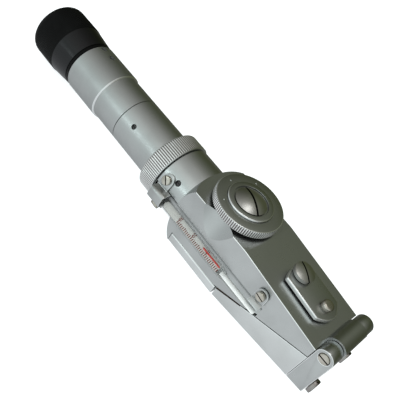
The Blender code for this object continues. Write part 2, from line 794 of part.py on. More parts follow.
def lighting_outline():
    """Section of the lighting prism on the seam, anticlockwise."""
    face = -SEAM_GAP / 2.0
    end = LIGHTING_START + LIGHTING_LENGTH
    return [(LIGHTING_START + LIGHTING_LEAN, face - LIGHTING_HEIGHT),
            (end - LIGHTING_LEAN, face - LIGHTING_HEIGHT),
            (end, face), (LIGHTING_START, face)]


# Body casting

def casting_outline():
    """Side view of the casting as (distance, height) points."""
    face = SEAM_GAP / 2.0
    roof = BASE_THICKNESS + GAP - AXIS_HEIGHT
    slope = math.tan(seam_tilt())
    foot = SEAM_START + (roof - seam_line(SEAM_START, face)) / slope
    return [(NECK_START, -AXIS_HEIGHT), (BASE_START - GAP, -AXIS_HEIGHT),
            (BASE_START - GAP, roof), (foot, roof),
            (HEAD_END, seam_line(HEAD_END, face)), (HEAD_END, BLOCK_TOP - HEAD_DROP),
            (HEAD_BREAK, BLOCK_TOP), (NECK_START, BLOCK_TOP)]


def turned_limit():
    """Turned solid that rounds the casting's neck and shoulder."""
    corner = math.hypot(BLOCK_HALF_WIDTH, AXIS_HEIGHT) + CORNER_MARGIN
    low = math.asin((NECK_RADIUS - SHOULDER_CENTRE_RADIUS) / SHOULDER_RADIUS)
    high = math.asin((corner - SHOULDER_CENTRE_RADIUS) / SHOULDER_RADIUS)
    middle = SHOULDER_START + SHOULDER_RADIUS * math.cos(low)
    profile = [(-OVERRUN, 0.0), (-OVERRUN, NECK_RADIUS)]
    for k in range(SHOULDER_STEPS + 1):
        angle = low + (high - low) * k / SHOULDER_STEPS
        profile.append((middle - SHOULDER_RADIUS * math.cos(angle),
                        SHOULDER_CENTRE_RADIUS + SHOULDER_RADIUS * math.sin(angle)))
    profile.append((HEAD_END + OVERRUN, corner))
    profile.append((HEAD_END + OVERRUN, 0.0))
    return axial("limit", profile, BIG_SIDES)


def knuckle():
    """Middle knuckle of the hinge with its neck."""
    points = [(HEAD_END - OVERRUN, HINGE_HEIGHT - KNUCKLE_NECK_DROP),
              (HINGE_X, HINGE_HEIGHT - KNUCKLE_NECK_DROP), (HINGE_X, HINGE_HEIGHT),
              (HEAD_END - OVERRUN, BLOCK_TOP - HEAD_DROP)]
    neck = slab("knuckle", points, KNUCKLE_HALF_WIDTH)
    round_part = across("round", HINGE_X, HINGE_HEIGHT, KNUCKLE_HALF_WIDTH,
                        KNUCKLE_RADIUS, MID_SIDES)
    return join(neck, round_part)


def scoop(side):
    """Cutter of a finger scoop: a leaning round bar on one side."""
    lean = math.atan2(SCOOP_DEPTH, SCOOP_HEIGHT)
    start = Vector((along(KNOB_FROM_RING - SCOOP_FROM_KNOB),
                    side * (BLOCK_HALF_WIDTH + SCOOP_RADIUS / math.cos(lean)),
                    up(BLOCK_TOP - SCOOP_HEIGHT)))
    axis = Vector((0.0, -side * math.sin(lean), math.cos(lean)))
    length = SCOOP_HEIGHT / math.cos(lean) + 3.0 * OVERRUN
    return rod("scoop", start - axis * OVERRUN, axis, length, SCOOP_RADIUS, 2 * BIG_SIDES)


def groove():
    """Cutter of the groove that holds the thermometer."""
    y = -(BLOCK_HALF_WIDTH + GROOVE_OUT)
    return bar("groove", 0.0, GROOVE_LENGTH, GROOVE_RADIUS, MID_SIDES, y, THERMO_HEIGHT)


def light_path():
    """Cutters of the bores that carry the light."""
    chamber_top = DRUM_TOP + GAP
    roof = -AXIS_HEIGHT
    pocket_end = SEAM_START + PRISM_START + PRISM_LENGTH / 3.0
    return [bar("bore", -SPIGOT_LENGTH - OVERRUN, AXIAL_BORE_END, AXIAL_BORE_RADIUS,
                BORE_SIDES),
            bar("bore", AXIAL_BORE_END - OVERRUN, KNOB_FROM_RING, FRONT_LIGHT_RADIUS,
                BORE_SIDES),
            bar("bore", KNOB_FROM_RING, pocket_end, LIGHT_BORE_RADIUS, MID_SIDES),
            upright("bore", roof, chamber_top, DRUM_RADIUS + GAP + CHAMBER_PLAY, BIG_SIDES),
            upright("bore", chamber_top - OVERRUN, BLOCK_TOP + OVERRUN,
                    SHAFT_RADIUS + 2.0 * GAP, SMALL_SIDES),
            upright("bore", BLOCK_TOP - BUSH_LENGTH - GAP, BLOCK_TOP + OVERRUN,
                    BUSH_RADIUS + GAP, MID_SIDES),
            upright("bore", BLOCK_TOP - DETENT_DEPTH, BLOCK_TOP + OVERRUN,
                    DETENT_RADIUS + GAP, SMALL_SIDES, KNOB_FROM_RING + DETENT_FROM_AXIS)]


def top_window_cuts():
    """Cutters of the light window's seat and the light hole under it."""
    seat = hole(top_point(TOP_WINDOW_FROM_RING), -top_normal(),
                TOP_WINDOW_THICKNESS + 2.0 * GAP, TOP_WINDOW_RADIUS + GAP, MID_SIDES)
    light = hole(top_point(TOP_WINDOW_FROM_RING), -top_normal(), TOP_LIGHT_DEPTH,
                 TOP_WINDOW_RADIUS - TOP_WINDOW_LEDGE, SMALL_SIDES)
    return [seat, light]


def clip_screw_seats():
    """Start point under the head, outward axis and carrier wall of each clip screw."""
    foot = NECK_RADIUS + 2.0 * GAP + CLIP_THICKNESS
    wall = BLOCK_HALF_WIDTH + 2.0 * GAP + CLIP_THICKNESS
    seats = []
    for angle in (math.pi - UPPER_FOOT_ANGLE, math.pi - LOWER_FOOT_ANGLE):
        y, height = polar(1.0, angle)
        seats.append((radial(UPPER_FOOT_CENTRE, foot, angle), Vector((0.0, y, height))))
    seats.append((Vector((along(LOWER_CLIP_CENTRE), -wall, up(LOWER_CLIP_SCREW_HEIGHT))),
                  -Y_AXIS))
    return seats


def screw_holes():
    """Cutters of the blind screw holes in the casting."""
    holes = []
    sink = CLIP_THICKNESS + 2.0 * GAP
    for point, axis in clip_screw_seats():
        holes.append(hole(point - axis * sink, -axis, CLIP_SCREW_BITE + GAP,
                          CLIP_SCREW_SHANK_RADIUS + GAP))
    for x, y in base_screw_places():
        start = Vector((x, y, BASE_THICKNESS + GAP))
        holes.append(hole(start, Z_AXIS, BASE_SCREW_BITE + GAP,
                          BASE_SCREW_SHANK_RADIUS + GAP))
    holes.append(hole(top_point(SHUTTER_PIVOT), -top_normal(),
                      SHUTTER_SCREW_BITE + GAP, SHUTTER_SCREW_SHANK + GAP, SMALL_SIDES))
    holes.append(hole(radial(PORT_FROM_RING, NECK_RADIUS, PORT_ANGLE),
                      -radial_axis(PORT_ANGLE), PORT_DEPTH + OVERRUN, PORT_RADIUS,
                      SMALL_SIDES))
    return holes


def radial_axis(angle):
    """Outward unit direction at an angle about the optical axis."""
    y, height = polar(1.0, angle)
    return Vector((0.0, y, height))


def build_casting():
    """Body casting with all its bores, pockets, scoops and the groove."""
    casting = slab("body_block", casting_outline(), BLOCK_HALF_WIDTH)
    boolean(casting, turned_limit(), "INTERSECT")
    join(casting, bar("spigot", -SPIGOT_LENGTH, NECK_START + OVERRUN, SPIGOT_RADIUS,
                      BIG_SIDES))
    join(casting, knuckle())
    cut(casting, scoop(-1.0), scoop(1.0), groove())
    cut(casting, *light_path())
    cut(casting, seam_solid("pocket", grown(measuring_outline(), GAP),
                            PRISM_HALF_WIDTH + GAP))
    face = SEAM_GAP / 2.0
    rim = MASK_RIM + 2.0 * GAP
    cut(casting, seam_block("recess", PRISM_START - rim, PRISM_START + PRISM_LENGTH + rim,
                            face - OVERRUN, face + MASK_THICKNESS + GAP,
                            PRISM_HALF_WIDTH + rim))
    cut(casting, *top_window_cuts())
    cut(casting, *screw_holes())
    cut(casting, across("hole", HINGE_X, HINGE_HEIGHT, BLOCK_HALF_WIDTH,
                        PIN_RADIUS + GAP, SMALL_SIDES))
    return casting


def base_screw_places():
    """World X and Y of the four base plate screws."""
    low = along(BASE_START + BASE_SCREW_X_INSET)
    high = along(BASE_START + BASE_LENGTH - BASE_SCREW_X_INSET)
    side = BLOCK_HALF_WIDTH - BASE_SCREW_Y_INSET
    return [(low, -side), (low, side), (high, -side), (high, side)]


def build_base_plate():
    """Flat plate that closes the underside of the block."""
    half = BLOCK_HALF_WIDTH + BASE_PROUD
    edge = BASE_CHAMFER
    top = BASE_THICKNESS
    x = along(BASE_START)
    section = [(-half + edge, 0.0), (half - edge, 0.0), (half, edge), (half, top - edge),
               (half - edge, top), (-half + edge, top), (-half, top - edge), (-half, edge)]
    corners = [Vector((x, y, z)) for y, z in section]
    plate = prism("base_plate", corners, Vector((BASE_LENGTH, 0.0, 0.0)))
    for px, py in base_screw_places():
        seat = BASE_SCREW_HEAD_RADIUS + GAP
        shank = BASE_SCREW_SHANK_RADIUS + GAP
        depth = BASE_SCREW_HEAD_HEIGHT + GAP
        profile = [(-OVERRUN, 0.0), (-OVERRUN, seat), (0.0, seat), (depth, shank),
                   (top + OVERRUN, shank), (top + OVERRUN, 0.0)]
        cut(plate, lathe("seat", Vector((px, py, 0.0)), Z_AXIS, profile, SMALL_SIDES))
    return plate


def build_base_screws():
    """Four countersunk screws under the base plate."""
    screws = []
    for number, (x, y) in enumerate(base_screw_places(), 1):
        sunk = BASE_CHAMFER / 2.0
        profile = [(sunk, 0.0), (sunk, BASE_SCREW_HEAD_RADIUS),
                   (sunk + BASE_SCREW_HEAD_HEIGHT, BASE_SCREW_SHANK_RADIUS),
                   (BASE_THICKNESS + BASE_SCREW_BITE, BASE_SCREW_SHANK_RADIUS),
                   (BASE_THICKNESS + BASE_SCREW_BITE, 0.0)]
        screw = lathe(f"base_screw_{number}", Vector((x, y, 0.0)), Z_AXIS, profile,
                      SMALL_SIDES)
        crown = Vector((x, y, sunk))
        screws.append(cut(screw, slot_cut(crown, -Z_AXIS, X_AXIS, BASE_SCREW_HEAD_RADIUS,
                                          BASE_SCREW_HEAD_HEIGHT / 2.0)))
    return screws


# Prisms and windows

def build_measuring_prism():
    """Glass prism behind the seam face of the body."""
    return seam_solid("measuring_prism", measuring_outline(), PRISM_HALF_WIDTH)


def build_prism_mask():
    """Brass frame round the measuring prism."""
    face = SEAM_GAP / 2.0
    rim = MASK_RIM + GAP
    return frame_plate("prism_mask", seam_block, PRISM_START - rim,
                       PRISM_START + PRISM_LENGTH + rim, face, face + MASK_THICKNESS,
                       PRISM_HALF_WIDTH + rim, MASK_RIM)


def build_lighting_prism():
    """Rough glass prism in the lid."""
    return seam_solid("lighting_prism", lighting_outline(), PRISM_HALF_WIDTH)


def build_lid_mask():
    """Brass frame round the lighting prism."""
    face = -SEAM_GAP / 2.0
    rim = MASK_RIM + GAP
    return frame_plate("lid_mask", seam_block, LIGHTING_START - rim,
                       LIGHTING_START + LIGHTING_LENGTH + rim, face - MASK_THICKNESS, face,
                       PRISM_HALF_WIDTH + rim, MASK_RIM)


def build_light_window():
    """Round glass window in the top face under the shutter."""
    start = top_point(TOP_WINDOW_FROM_RING) - top_normal() * GAP
    return rod("light_window", start, -top_normal(), TOP_WINDOW_THICKNESS,
               TOP_WINDOW_RADIUS, MID_SIDES)


def lid_window_limits():
    """Low and high run of the lid's window glass."""
    middle = (LID_WINDOW_FROM_RING - LID_START) / math.cos(lid_tilt())
    return middle - LID_WINDOW_LENGTH / 2.0, middle + LID_WINDOW_LENGTH / 2.0


def build_lid_window():
    """Glass plate in the lid's underside."""
    low, high = lid_window_limits()
    floor = LID_WINDOW_INSET
    return lid_block("lid_window", low - LID_WINDOW_RIM, high + LID_WINDOW_RIM, floor,
                     floor + LID_WINDOW_THICKNESS, LID_WINDOW_HALF_WIDTH + LID_WINDOW_RIM)


# Lid and hinge

def lid_light_cut():
    """Cutter of the light hole from the lid's window to its prism."""
    low, high = lid_window_limits()
    face = -SEAM_GAP / 2.0 - LIGHTING_HEIGHT
    first = lid_point(low, 0.0, -LID_WINDOW_HALF_WIDTH)
    second = lid_point(high, 0.0, -LID_WINDOW_HALF_WIDTH)
    corners = [first, second]
    for point in (second, first):
        distance = point.x + KNOB_FROM_RING
        corners.append(Vector((point.x, point.y, up(seam_line(distance, face)))))
    return prism("hole", corners, Vector((0.0, 2.0 * LID_WINDOW_HALF_WIDTH, 0.0)))


def build_lid():
    """Wedge-shaped lid with its prism pocket and window."""
    face = -SEAM_GAP / 2.0
    points = [(LID_START, lid_bottom(LID_START)), (LID_END, lid_bottom(LID_END)),
              (LID_END, seam_line(LID_END, face)), (LID_START, seam_line(LID_START, face))]
    lid = slab("lid_body", points, BLOCK_HALF_WIDTH)
    cut(lid, seam_solid("pocket", grown(lighting_outline(), GAP), PRISM_HALF_WIDTH + GAP))
    rim = MASK_RIM + 2.0 * GAP
    cut(lid, seam_block("recess", LIGHTING_START - rim,
                        LIGHTING_START + LIGHTING_LENGTH + rim,
                        face - MASK_THICKNESS - GAP, face + OVERRUN,
                        PRISM_HALF_WIDTH + rim))
    low, high = lid_window_limits()
    rim = LID_WINDOW_RIM + GAP
    depth = LID_WINDOW_INSET + LID_WINDOW_THICKNESS + GAP
    cut(lid, lid_block("recess", low - rim, high + rim, -OVERRUN, depth,
                       LID_WINDOW_HALF_WIDTH + rim))
    cut(lid, lid_light_cut())
    for point in end_screw_places():
        start = Vector((along(LID_END), point.y, point.z))
        cut(lid, hole(start, -X_AXIS, END_SCREW_BITE + GAP, END_SCREW_SHANK_RADIUS + GAP))
    return lid


def end_screw_places():
    """Points under the heads of the two end screws."""
    x = along(HINGE_X + EAR_RADIUS) + GAP
    return [Vector((x, side * END_SCREW_SPREAD, up(END_SCREW_HEIGHT)))
            for side in (-1.0, 1.0)]


def build_bracket():
    """Hinge bracket on the lid's end with two round ears."""
    low = HINGE_X - EAR_RADIUS
    high = HINGE_X + EAR_RADIUS
    points = [(low, lid_bottom(low)), (high, lid_bottom(high))]
    for k in range(MID_SIDES // 2 + 1):
        angle = TURN * k / MID_SIDES
        points.append((HINGE_X + EAR_RADIUS * math.cos(angle),
                       HINGE_HEIGHT + EAR_RADIUS * math.sin(angle)))
    bracket = slab("hinge_bracket", points, BLOCK_HALF_WIDTH)
    inner = KNUCKLE_HALF_WIDTH + GAP
    floor = HINGE_HEIGHT - BRACKET_POCKET_DROP
    top = HINGE_HEIGHT + KNUCKLE_RADIUS + OVERRUN
    cut(bracket, slab("pocket", [(low - OVERRUN, floor), (HINGE_X, floor), (HINGE_X, top),
                                 (low - OVERRUN, top)], inner))
    cut(bracket, across("pocket", HINGE_X, HINGE_HEIGHT, inner, KNUCKLE_RADIUS + GAP,
                        BIG_SIDES))
    cut(bracket, across("hole", HINGE_X, HINGE_HEIGHT, BLOCK_HALF_WIDTH + OVERRUN,
                        PIN_RADIUS + GAP, SMALL_SIDES))
    mouth = Vector((along(HINGE_X), -BLOCK_HALF_WIDTH, up(HINGE_HEIGHT)))
    cut(bracket, hole(mouth, Y_AXIS, PIN_HEAD_DEPTH + GAP, PIN_HEAD_RADIUS + GAP,
                      SMALL_SIDES))
    for point in end_screw_places():
        cut(bracket, hole(point, -X_AXIS, 2.0 * EAR_RADIUS + OVERRUN,
                          END_SCREW_SHANK_RADIUS + GAP))
    return bracket


def build_pin():
    """Hinge pin with a slotted head on the -Y side."""
    head = PIN_HEAD_DEPTH + PIN_HEAD_PROUD
    bevel = PIN_HEAD_PROUD / 2.0
    start = Vector((along(HINGE_X), PIN_HEAD_DEPTH - BLOCK_HALF_WIDTH, up(HINGE_HEIGHT)))
    length = 2.0 * BLOCK_HALF_WIDTH - PIN_HEAD_DEPTH
    profile = [(-length, 0.0), (-length, PIN_RADIUS), (0.0, PIN_RADIUS),
               (0.0, PIN_HEAD_RADIUS), (head - bevel, PIN_HEAD_RADIUS),
               (head, PIN_HEAD_RADIUS - bevel), (head, 0.0)]
    pin = lathe("hinge_pin", start, -Y_AXIS, profile, SMALL_SIDES)
    crown = start - Y_AXIS * head
    return cut(pin, slot_cut(crown, -Y_AXIS, Z_AXIS, PIN_HEAD_RADIUS, head / 2.0))


def build_end_screws():
    """Two screws that hold the bracket to the lid."""
    bite = 2.0 * EAR_RADIUS + GAP + END_SCREW_BITE
    return [cheese_screw(name, point, X_AXIS, Z_AXIS, END_SCREW_HEAD_RADIUS,
                         END_SCREW_HEAD_HEIGHT, END_SCREW_SHANK_RADIUS, bite)
            for name, point in zip(("end_screw_near", "end_screw_far"),
                                   end_screw_places())]


# Light shutter

def shutter_outline():
    """Outline of the shutter plate as (run from the pivot, side)."""
    points = []
    for k in range(SHUTTER_ARC_STEPS + 1):
        side = 2.0 * k / SHUTTER_ARC_STEPS - 1.0
        bulge = SHUTTER_FRONT_BULGE * (1.0 - side * side)
        points.append((SHUTTER_FRONT + bulge, side * SHUTTER_HALF_WIDTH))
    for k in range(SHUTTER_ARC_STEPS + 1):
        side = 1.0 - 2.0 * k / SHUTTER_ARC_STEPS
        bulge = SHUTTER_BACK_BULGE * (1.0 - side * side)
        points.append((-SHUTTER_BACK - bulge, side * SHUTTER_HALF_WIDTH))
    return points


def on_top(run, side, rise):
    """World point in the shutter's frame: run down the slope from the pivot."""
    along_top = Vector((math.cos(top_tilt()), 0.0, -math.sin(top_tilt())))
    return top_point(SHUTTER_PIVOT, side, rise) + along_top * run


def build_shutter():
    """Plate that turns over the light window."""
    corners = [on_top(run, side, SHUTTER_LIFT) for run, side in shutter_outline()]
    plate = prism("shutter_plate", corners, top_normal() * SHUTTER_THICKNESS)
    boss = rod("boss", on_top(0.0, 0.0, GAP), top_normal(),
               SHUTTER_LIFT - GAP + SHUTTER_THICKNESS / 2.0, SHUTTER_BOSS_RADIUS, MID_SIDES)
    join(plate, boss)
    top = SHUTTER_LIFT + SHUTTER_THICKNESS
    cut(plate, hole(on_top(0.0, 0.0, top), -top_normal(), top + OVERRUN,
                    SHUTTER_SCREW_SHANK + GAP, SMALL_SIDES))
    cut(plate, hole(on_top(SHUTTER_KNOB_REACH, 0.0, top), -top_normal(),
                    SHUTTER_THICKNESS / 2.0 + GAP, SHUTTER_KNOB_STEM_RADIUS + GAP))
    return plate


def build_shutter_knob():
    """Small finger knob on the shutter."""
    top = SHUTTER_LIFT + SHUTTER_THICKNESS
    start = on_top(SHUTTER_KNOB_REACH, 0.0, top + GAP)
    stem = SHUTTER_THICKNESS / 2.0 + GAP
    bevel = SHUTTER_KNOB_HEIGHT / 4.0
    profile = [(-stem, 0.0), (-stem, SHUTTER_KNOB_STEM_RADIUS),
               (0.0, SHUTTER_KNOB_STEM_RADIUS), (0.0, SHUTTER_KNOB_RADIUS - bevel),
               (bevel, SHUTTER_KNOB_RADIUS), (SHUTTER_KNOB_HEIGHT - bevel, SHUTTER_KNOB_RADIUS),
               (SHUTTER_KNOB_HEIGHT, SHUTTER_KNOB_RADIUS - bevel), (SHUTTER_KNOB_HEIGHT, 0.0)]
    return lathe("shutter_knob", start, top_normal(), profile, SMALL_SIDES)


def domed_screw(name, start, axis, head, shank, bite, slot_direction):
    """Slotted screw with a domed head: head is (radius, rim, dome)."""
    radius, rim, dome = head
    profile = [(-bite, 0.0), (-bite, shank), (0.0, shank)]
    profile += dome_profile(0.0, rim, dome, radius)
    screw = lathe(name, start, axis, profile, MID_SIDES)
    crown = start + axis * (rim + dome)
    return cut(screw, slot_cut(crown, axis, slot_direction, radius, SLOT_DEPTH))


def build_shutter_screw():
    """Domed screw that the shutter turns on."""
    top = SHUTTER_LIFT + SHUTTER_THICKNESS + GAP
    slope = Vector((math.cos(top_tilt()), 0.0, -math.sin(top_tilt())))
    direction = slope * math.cos(SHUTTER_SLOT_ANGLE) + Y_AXIS * math.sin(SHUTTER_SLOT_ANGLE)
    head = (SHUTTER_SCREW_RADIUS, SHUTTER_SCREW_RIM, SHUTTER_SCREW_DOME)
    return domed_screw("shutter_screw", on_top(0.0, 0.0, top), top_normal(), head,
                       SHUTTER_SCREW_SHANK, top + SHUTTER_SCREW_BITE, direction)


# Range knob and drum

def build_range_knob():
    """Round knob on the top face."""
    hub = KNOB_UNDERSIDE - BLOCK_TOP - GAP
    height = KNOB_FACE - KNOB_UNDERSIDE
    bevel = KNOB_CHAMFER
    bore = SHAFT_RADIUS + GAP
    seat = CLAMP_RADIUS + GAP
    profile = [(0.0, bore), (0.0, KNOB_HUB_RADIUS), (hub, KNOB_HUB_RADIUS),
               (hub, KNOB_RADIUS - bevel), (hub + bevel, KNOB_RADIUS),
               (hub + height - bevel, KNOB_RADIUS), (hub + height, KNOB_RADIUS - bevel),
               (hub + height, seat), (hub + height - CLAMP_SINK, seat),
               (hub + height - CLAMP_SINK, bore)]
    start = Vector((0.0, 0.0, up(BLOCK_TOP + GAP)))
    knob = lathe("range_knob", start, Z_AXIS, profile, BIG_SIDES)
    for step in (-1.0, 0.0, 1.0):
        angle = KNOB_DOT_ANGLE + step * KNOB_STEP
        point = Vector((KNOB_DOT_REACH * math.cos(angle), KNOB_DOT_REACH * math.sin(angle),
                        up(KNOB_FACE)))
        cut(knob, hole(point, -Z_AXIS, KNOB_DOT_DEPTH, KNOB_DOT_RADIUS))
    return knob


def build_clamp_ring():
    """Raised ring let into the knob's face."""
    base = GAP - CLAMP_SINK
    top = CLAMP_HEIGHT
    cove = CLAMP_HEIGHT - CLAMP_COVE_DEPTH
    bore = DOME_SHANK_RADIUS + GAP
    bevel = CLAMP_HEIGHT / 4.0
    profile = [(base, bore), (base, CLAMP_RADIUS), (top - bevel, CLAMP_RADIUS),
               (top, CLAMP_RADIUS - bevel), (top, CLAMP_COVE_RADIUS),
               (cove, CLAMP_COVE_RADIUS - CLAMP_COVE_LEAN), (cove, bore)]
    return lathe("knob_plate", Vector((0.0, 0.0, up(KNOB_FACE))), Z_AXIS, profile, BIG_SIDES)


def build_knob_screw():
    """Big domed screw of the knob."""
    base = CLAMP_HEIGHT - CLAMP_COVE_DEPTH + GAP
    start = Vector((0.0, 0.0, up(KNOB_FACE) + base))
    direction = Vector((math.cos(SLOT_ANGLE), math.sin(SLOT_ANGLE), 0.0))
    head = (DOME_RADIUS, DOME_RIM, DOME_HEIGHT)
    return domed_screw("knob_screw", start, Z_AXIS, head, DOME_SHANK_RADIUS,
                       base + CLAMP_SINK + DOME_BITE, direction)


def build_bush():
    """Bearing bush of the shaft."""
    start = Vector((0.0, 0.0, up(BLOCK_TOP - BUSH_LENGTH)))
    return tube("knob_bush", start, Z_AXIS, BUSH_LENGTH, BUSH_RADIUS, SHAFT_RADIUS + GAP,
                SMALL_SIDES)


def build_shaft():
    """Shaft from the drum to the knob, bored for both screws."""
    low = DRUM_TOP - SHAFT_IN_DRUM
    high = KNOB_FACE - CLAMP_SINK
    shaft = upright("range_shaft", low, high, SHAFT_RADIUS, SMALL_SIDES)
    top = Vector((0.0, 0.0, up(high)))
    foot = Vector((0.0, 0.0, up(low)))
    cut(shaft, hole(top, -Z_AXIS, DOME_BITE + GAP, DOME_SHANK_RADIUS + GAP))
    cut(shaft, hole(foot, Z_AXIS, DRUM_SCREW_BITE + GAP, DRUM_SCREW_SHANK + GAP))
    return shaft


def build_drum_screw():
    """Screw that holds the drum to the shaft."""
    start = Vector((0.0, 0.0, up(DRUM_TOP - SHAFT_IN_DRUM) - GAP))
    return cheese_screw("drum_screw", start, -Z_AXIS, X_AXIS, DRUM_SCREW_RADIUS,
                        DRUM_SCREW_HEIGHT, DRUM_SCREW_SHANK, DRUM_SCREW_BITE)


def channel_directions():
    """Directions of the drum's three light channels."""
    return [Vector((math.cos(step * KNOB_STEP), math.sin(step * KNOB_STEP), 0.0))
            for step in (-1.0, 0.0, 1.0)]


def channel_block(name, direction, low, high, half_width, half_height):
    """Block in the drum along a direction, between two distances."""
    side = Z_AXIS.cross(direction)
    centre = Vector((0.0, 0.0, up(-half_height)))
    corners = [centre + direction * low - side * half_width,
               centre + direction * high - side * half_width,
               centre + direction * high + side * half_width,
               centre + direction * low + side * half_width]
    return prism(name, corners, Vector((0.0, 0.0, 2.0 * half_height)))


def build_drum():
    """Drum with three light channels across it."""
    drum = upright("range_drum", DRUM_FLOOR, DRUM_TOP, DRUM_RADIUS, BIG_SIDES)
    reach = DRUM_RADIUS + OVERRUN
    for direction in channel_directions():
        cut(drum, channel_block("channel", direction, -reach, reach, CHANNEL_HALF_WIDTH,
                                CHANNEL_HALF_HEIGHT))
    cut(drum, upright("bore", DRUM_TOP - SHAFT_IN_DRUM - GAP - DRUM_SCREW_HEIGHT,
                      DRUM_TOP + OVERRUN, SHAFT_RADIUS + GAP, SMALL_SIDES))
    return drum


def build_range_prisms():
    """Three thin wedge prisms, one in each channel."""
    wedges = []
    half_width = CHANNEL_HALF_WIDTH - GAP
    half_height = CHANNEL_HALF_HEIGHT - GAP
    for number, direction in enumerate(channel_directions(), 1):
        side = Z_AXIS.cross(direction)
        outer = direction * RANGE_PRISM_REACH - side * half_width
        foot = outer + Vector((0.0, 0.0, up(-half_height)))
        head = outer + Vector((0.0, 0.0, up(half_height)))
        corners = [foot, head, head - direction * RANGE_PRISM_THIN,
                   foot - direction * RANGE_PRISM_THICK]
        wedges.append(prism(f"range_prism_{number}", corners, side * 2.0 * half_width))
    return wedges


def build_detent_ball():
    """Ball that clicks under the knob."""
    centre = Vector((DETENT_FROM_AXIS, 0.0, up(KNOB_UNDERSIDE) - GAP - DETENT_RADIUS))
    profile = []
    for k in range(TINY_SIDES // 2 + 1):
        angle = TURN * k / TINY_SIDES
        profile.append((-DETENT_RADIUS * math.cos(angle), DETENT_RADIUS * math.sin(angle)))
    profile[0] = (-DETENT_RADIUS, 0.0)
    profile[-1] = (DETENT_RADIUS, 0.0)
    return lathe("detent_ball", centre, Z_AXIS, profile, TINY_SIDES)


def build_detent_spring():
    """Coil spring under the ball."""
    wire = DETENT_WIRE_RADIUS
    low = up(BLOCK_TOP - DETENT_DEPTH) + GAP + wire
    high = up(KNOB_UNDERSIDE) - 2.0 * GAP - 2.0 * DETENT_RADIUS - wire
    bm = bmesh.new()
    rows = []
    count = DETENT_TURNS * COIL_STEPS
    for k in range(count + 1):
        angle = TURN * k / COIL_STEPS
        out = Vector((math.cos(angle), math.sin(angle), 0.0))
        centre = Vector((DETENT_FROM_AXIS, 0.0, low + (high - low) * k / count))
        centre += out * DETENT_COIL_RADIUS
        rows.append([bm.verts.new(centre + out * wire * math.cos(TURN * j / WIRE_SIDES)
                                  + Z_AXIS * wire * math.sin(TURN * j / WIRE_SIDES))
                     for j in range(WIRE_SIDES)])
    for a, b in zip(rows, rows[1:]):
        for j in range(WIRE_SIDES):
            nxt = (j + 1) % WIRE_SIDES
            bm.faces.new((a[j], a[nxt], b[nxt], b[j]))
    bm.faces.new(rows[0])
    bm.faces.new(rows[-1])
    return new_object("detent_spring", bm)


# Union ring and barrel tubes

def build_union_ring():
    """Ring that clamps the barrel to the body."""
    lip_bore = TUBE_RADIUS + GAP
    bore = SPIGOT_RADIUS + GAP
    rear = -RING_LENGTH
    edge = RING_ROUND
    profile = [(rear, lip_bore), (rear, RING_RADIUS - edge)]
    for k in range(1, ROUND_STEPS + 1):
        angle = math.pi / 2.0 * k / ROUND_STEPS
        profile.append((rear + edge - edge * math.cos(angle),
                        RING_RADIUS - edge + edge * math.sin(angle)))
    profile += [(0.0, RING_RADIUS), (0.0, bore), (rear + RING_LIP, bore),
                (rear + RING_LIP, lip_bore)]
    return axial("union_ring", profile, BIG_SIDES)


def build_lower_tube():
    """Tube with a flange and a plug in the body's neck."""
    flange = -SPIGOT_LENGTH - GAP
    back = flange - FLANGE_LENGTH
    plug = AXIAL_BORE_RADIUS - GAP
    profile = [(-LOWER_TUBE_LENGTH, TUBE_BORE), (-LOWER_TUBE_LENGTH, TUBE_RADIUS),
               (back, TUBE_RADIUS), (back, FLANGE_RADIUS), (flange, FLANGE_RADIUS),
               (flange, plug), (PLUG_END, plug), (PLUG_END, PLUG_BORE),
               (back, PLUG_BORE), (back, TUBE_BORE)]
    lower = axial("lower_tube", profile, BIG_SIDES)
    mouth = radial(-TUBE_SCREW_FROM_RING, TUBE_RADIUS, TUBE_SCREW_ANGLE)
    return cut(lower, hole(mouth, -radial_axis(TUBE_SCREW_ANGLE),
                           TUBE_RADIUS - TUBE_BORE + GAP, TUBE_SCREW_HOLE, SMALL_SIDES))


def middle_limits():
    """Distances of the middle tube's front and rear steps."""
    front = -LOWER_TUBE_LENGTH - GAP
    return front, front - MIDDLE_TUBE_LENGTH


def build_middle_tube():
    """Short tube plugged into its two neighbours."""
    front, rear = middle_limits()
    lower_plug = TUBE_BORE - GAP
    upper_plug = SLEEVE_BORE - GAP
    profile = [(rear - UPPER_PLUG_LENGTH, MIDDLE_BORE), (rear - UPPER_PLUG_LENGTH, upper_plug),
               (rear, upper_plug), (rear, TUBE_RADIUS), (front, TUBE_RADIUS),
               (front, lower_plug), (front + JOINT_LENGTH, lower_plug),
               (front + JOINT_LENGTH, MIDDLE_BORE)]
    return axial("middle_tube", profile, BIG_SIDES)


def sleeve_limits():
    """Distances of the upper sleeve's front and rear ends."""
    front = middle_limits()[1] - GAP
    return front, front - SLEEVE_LENGTH


def sleeve_screw_places():
    """Distances of the two small screws in the upper sleeve."""
    rear = sleeve_limits()[1]
    first = rear + SLEEVE_SCREW_INSET
    return [first, first + SLEEVE_SCREW_PITCH]


def build_upper_tube():
    """Wider sleeve of the barrel, chamfered at its front edge."""
    front, rear = sleeve_limits()
    edge = SLEEVE_CHAMFER
    profile = [(rear, SLEEVE_BORE), (rear, SLEEVE_RADIUS), (front - edge, SLEEVE_RADIUS),
               (front, SLEEVE_RADIUS - edge), (front, SLEEVE_BORE)]
    upper = axial("upper_tube", profile, BIG_SIDES)
    for distance in sleeve_screw_places():
        cut(upper, hole(radial(distance, SLEEVE_RADIUS, SLEEVE_SCREW_ANGLE),
                        -radial_axis(SLEEVE_SCREW_ANGLE), SLEEVE_RADIUS - SLEEVE_BORE + GAP,
                        SLEEVE_SCREW_HOLE))
    return upper


def set_screw(name, distance, outer, inner, angle, hole_radius):
    """Headless screw in a radial hole between two radii."""
    start = radial(distance, inner, angle)
    return rod(name, start, radial_axis(angle), outer - inner, hole_radius - GAP, TINY_SIDES)


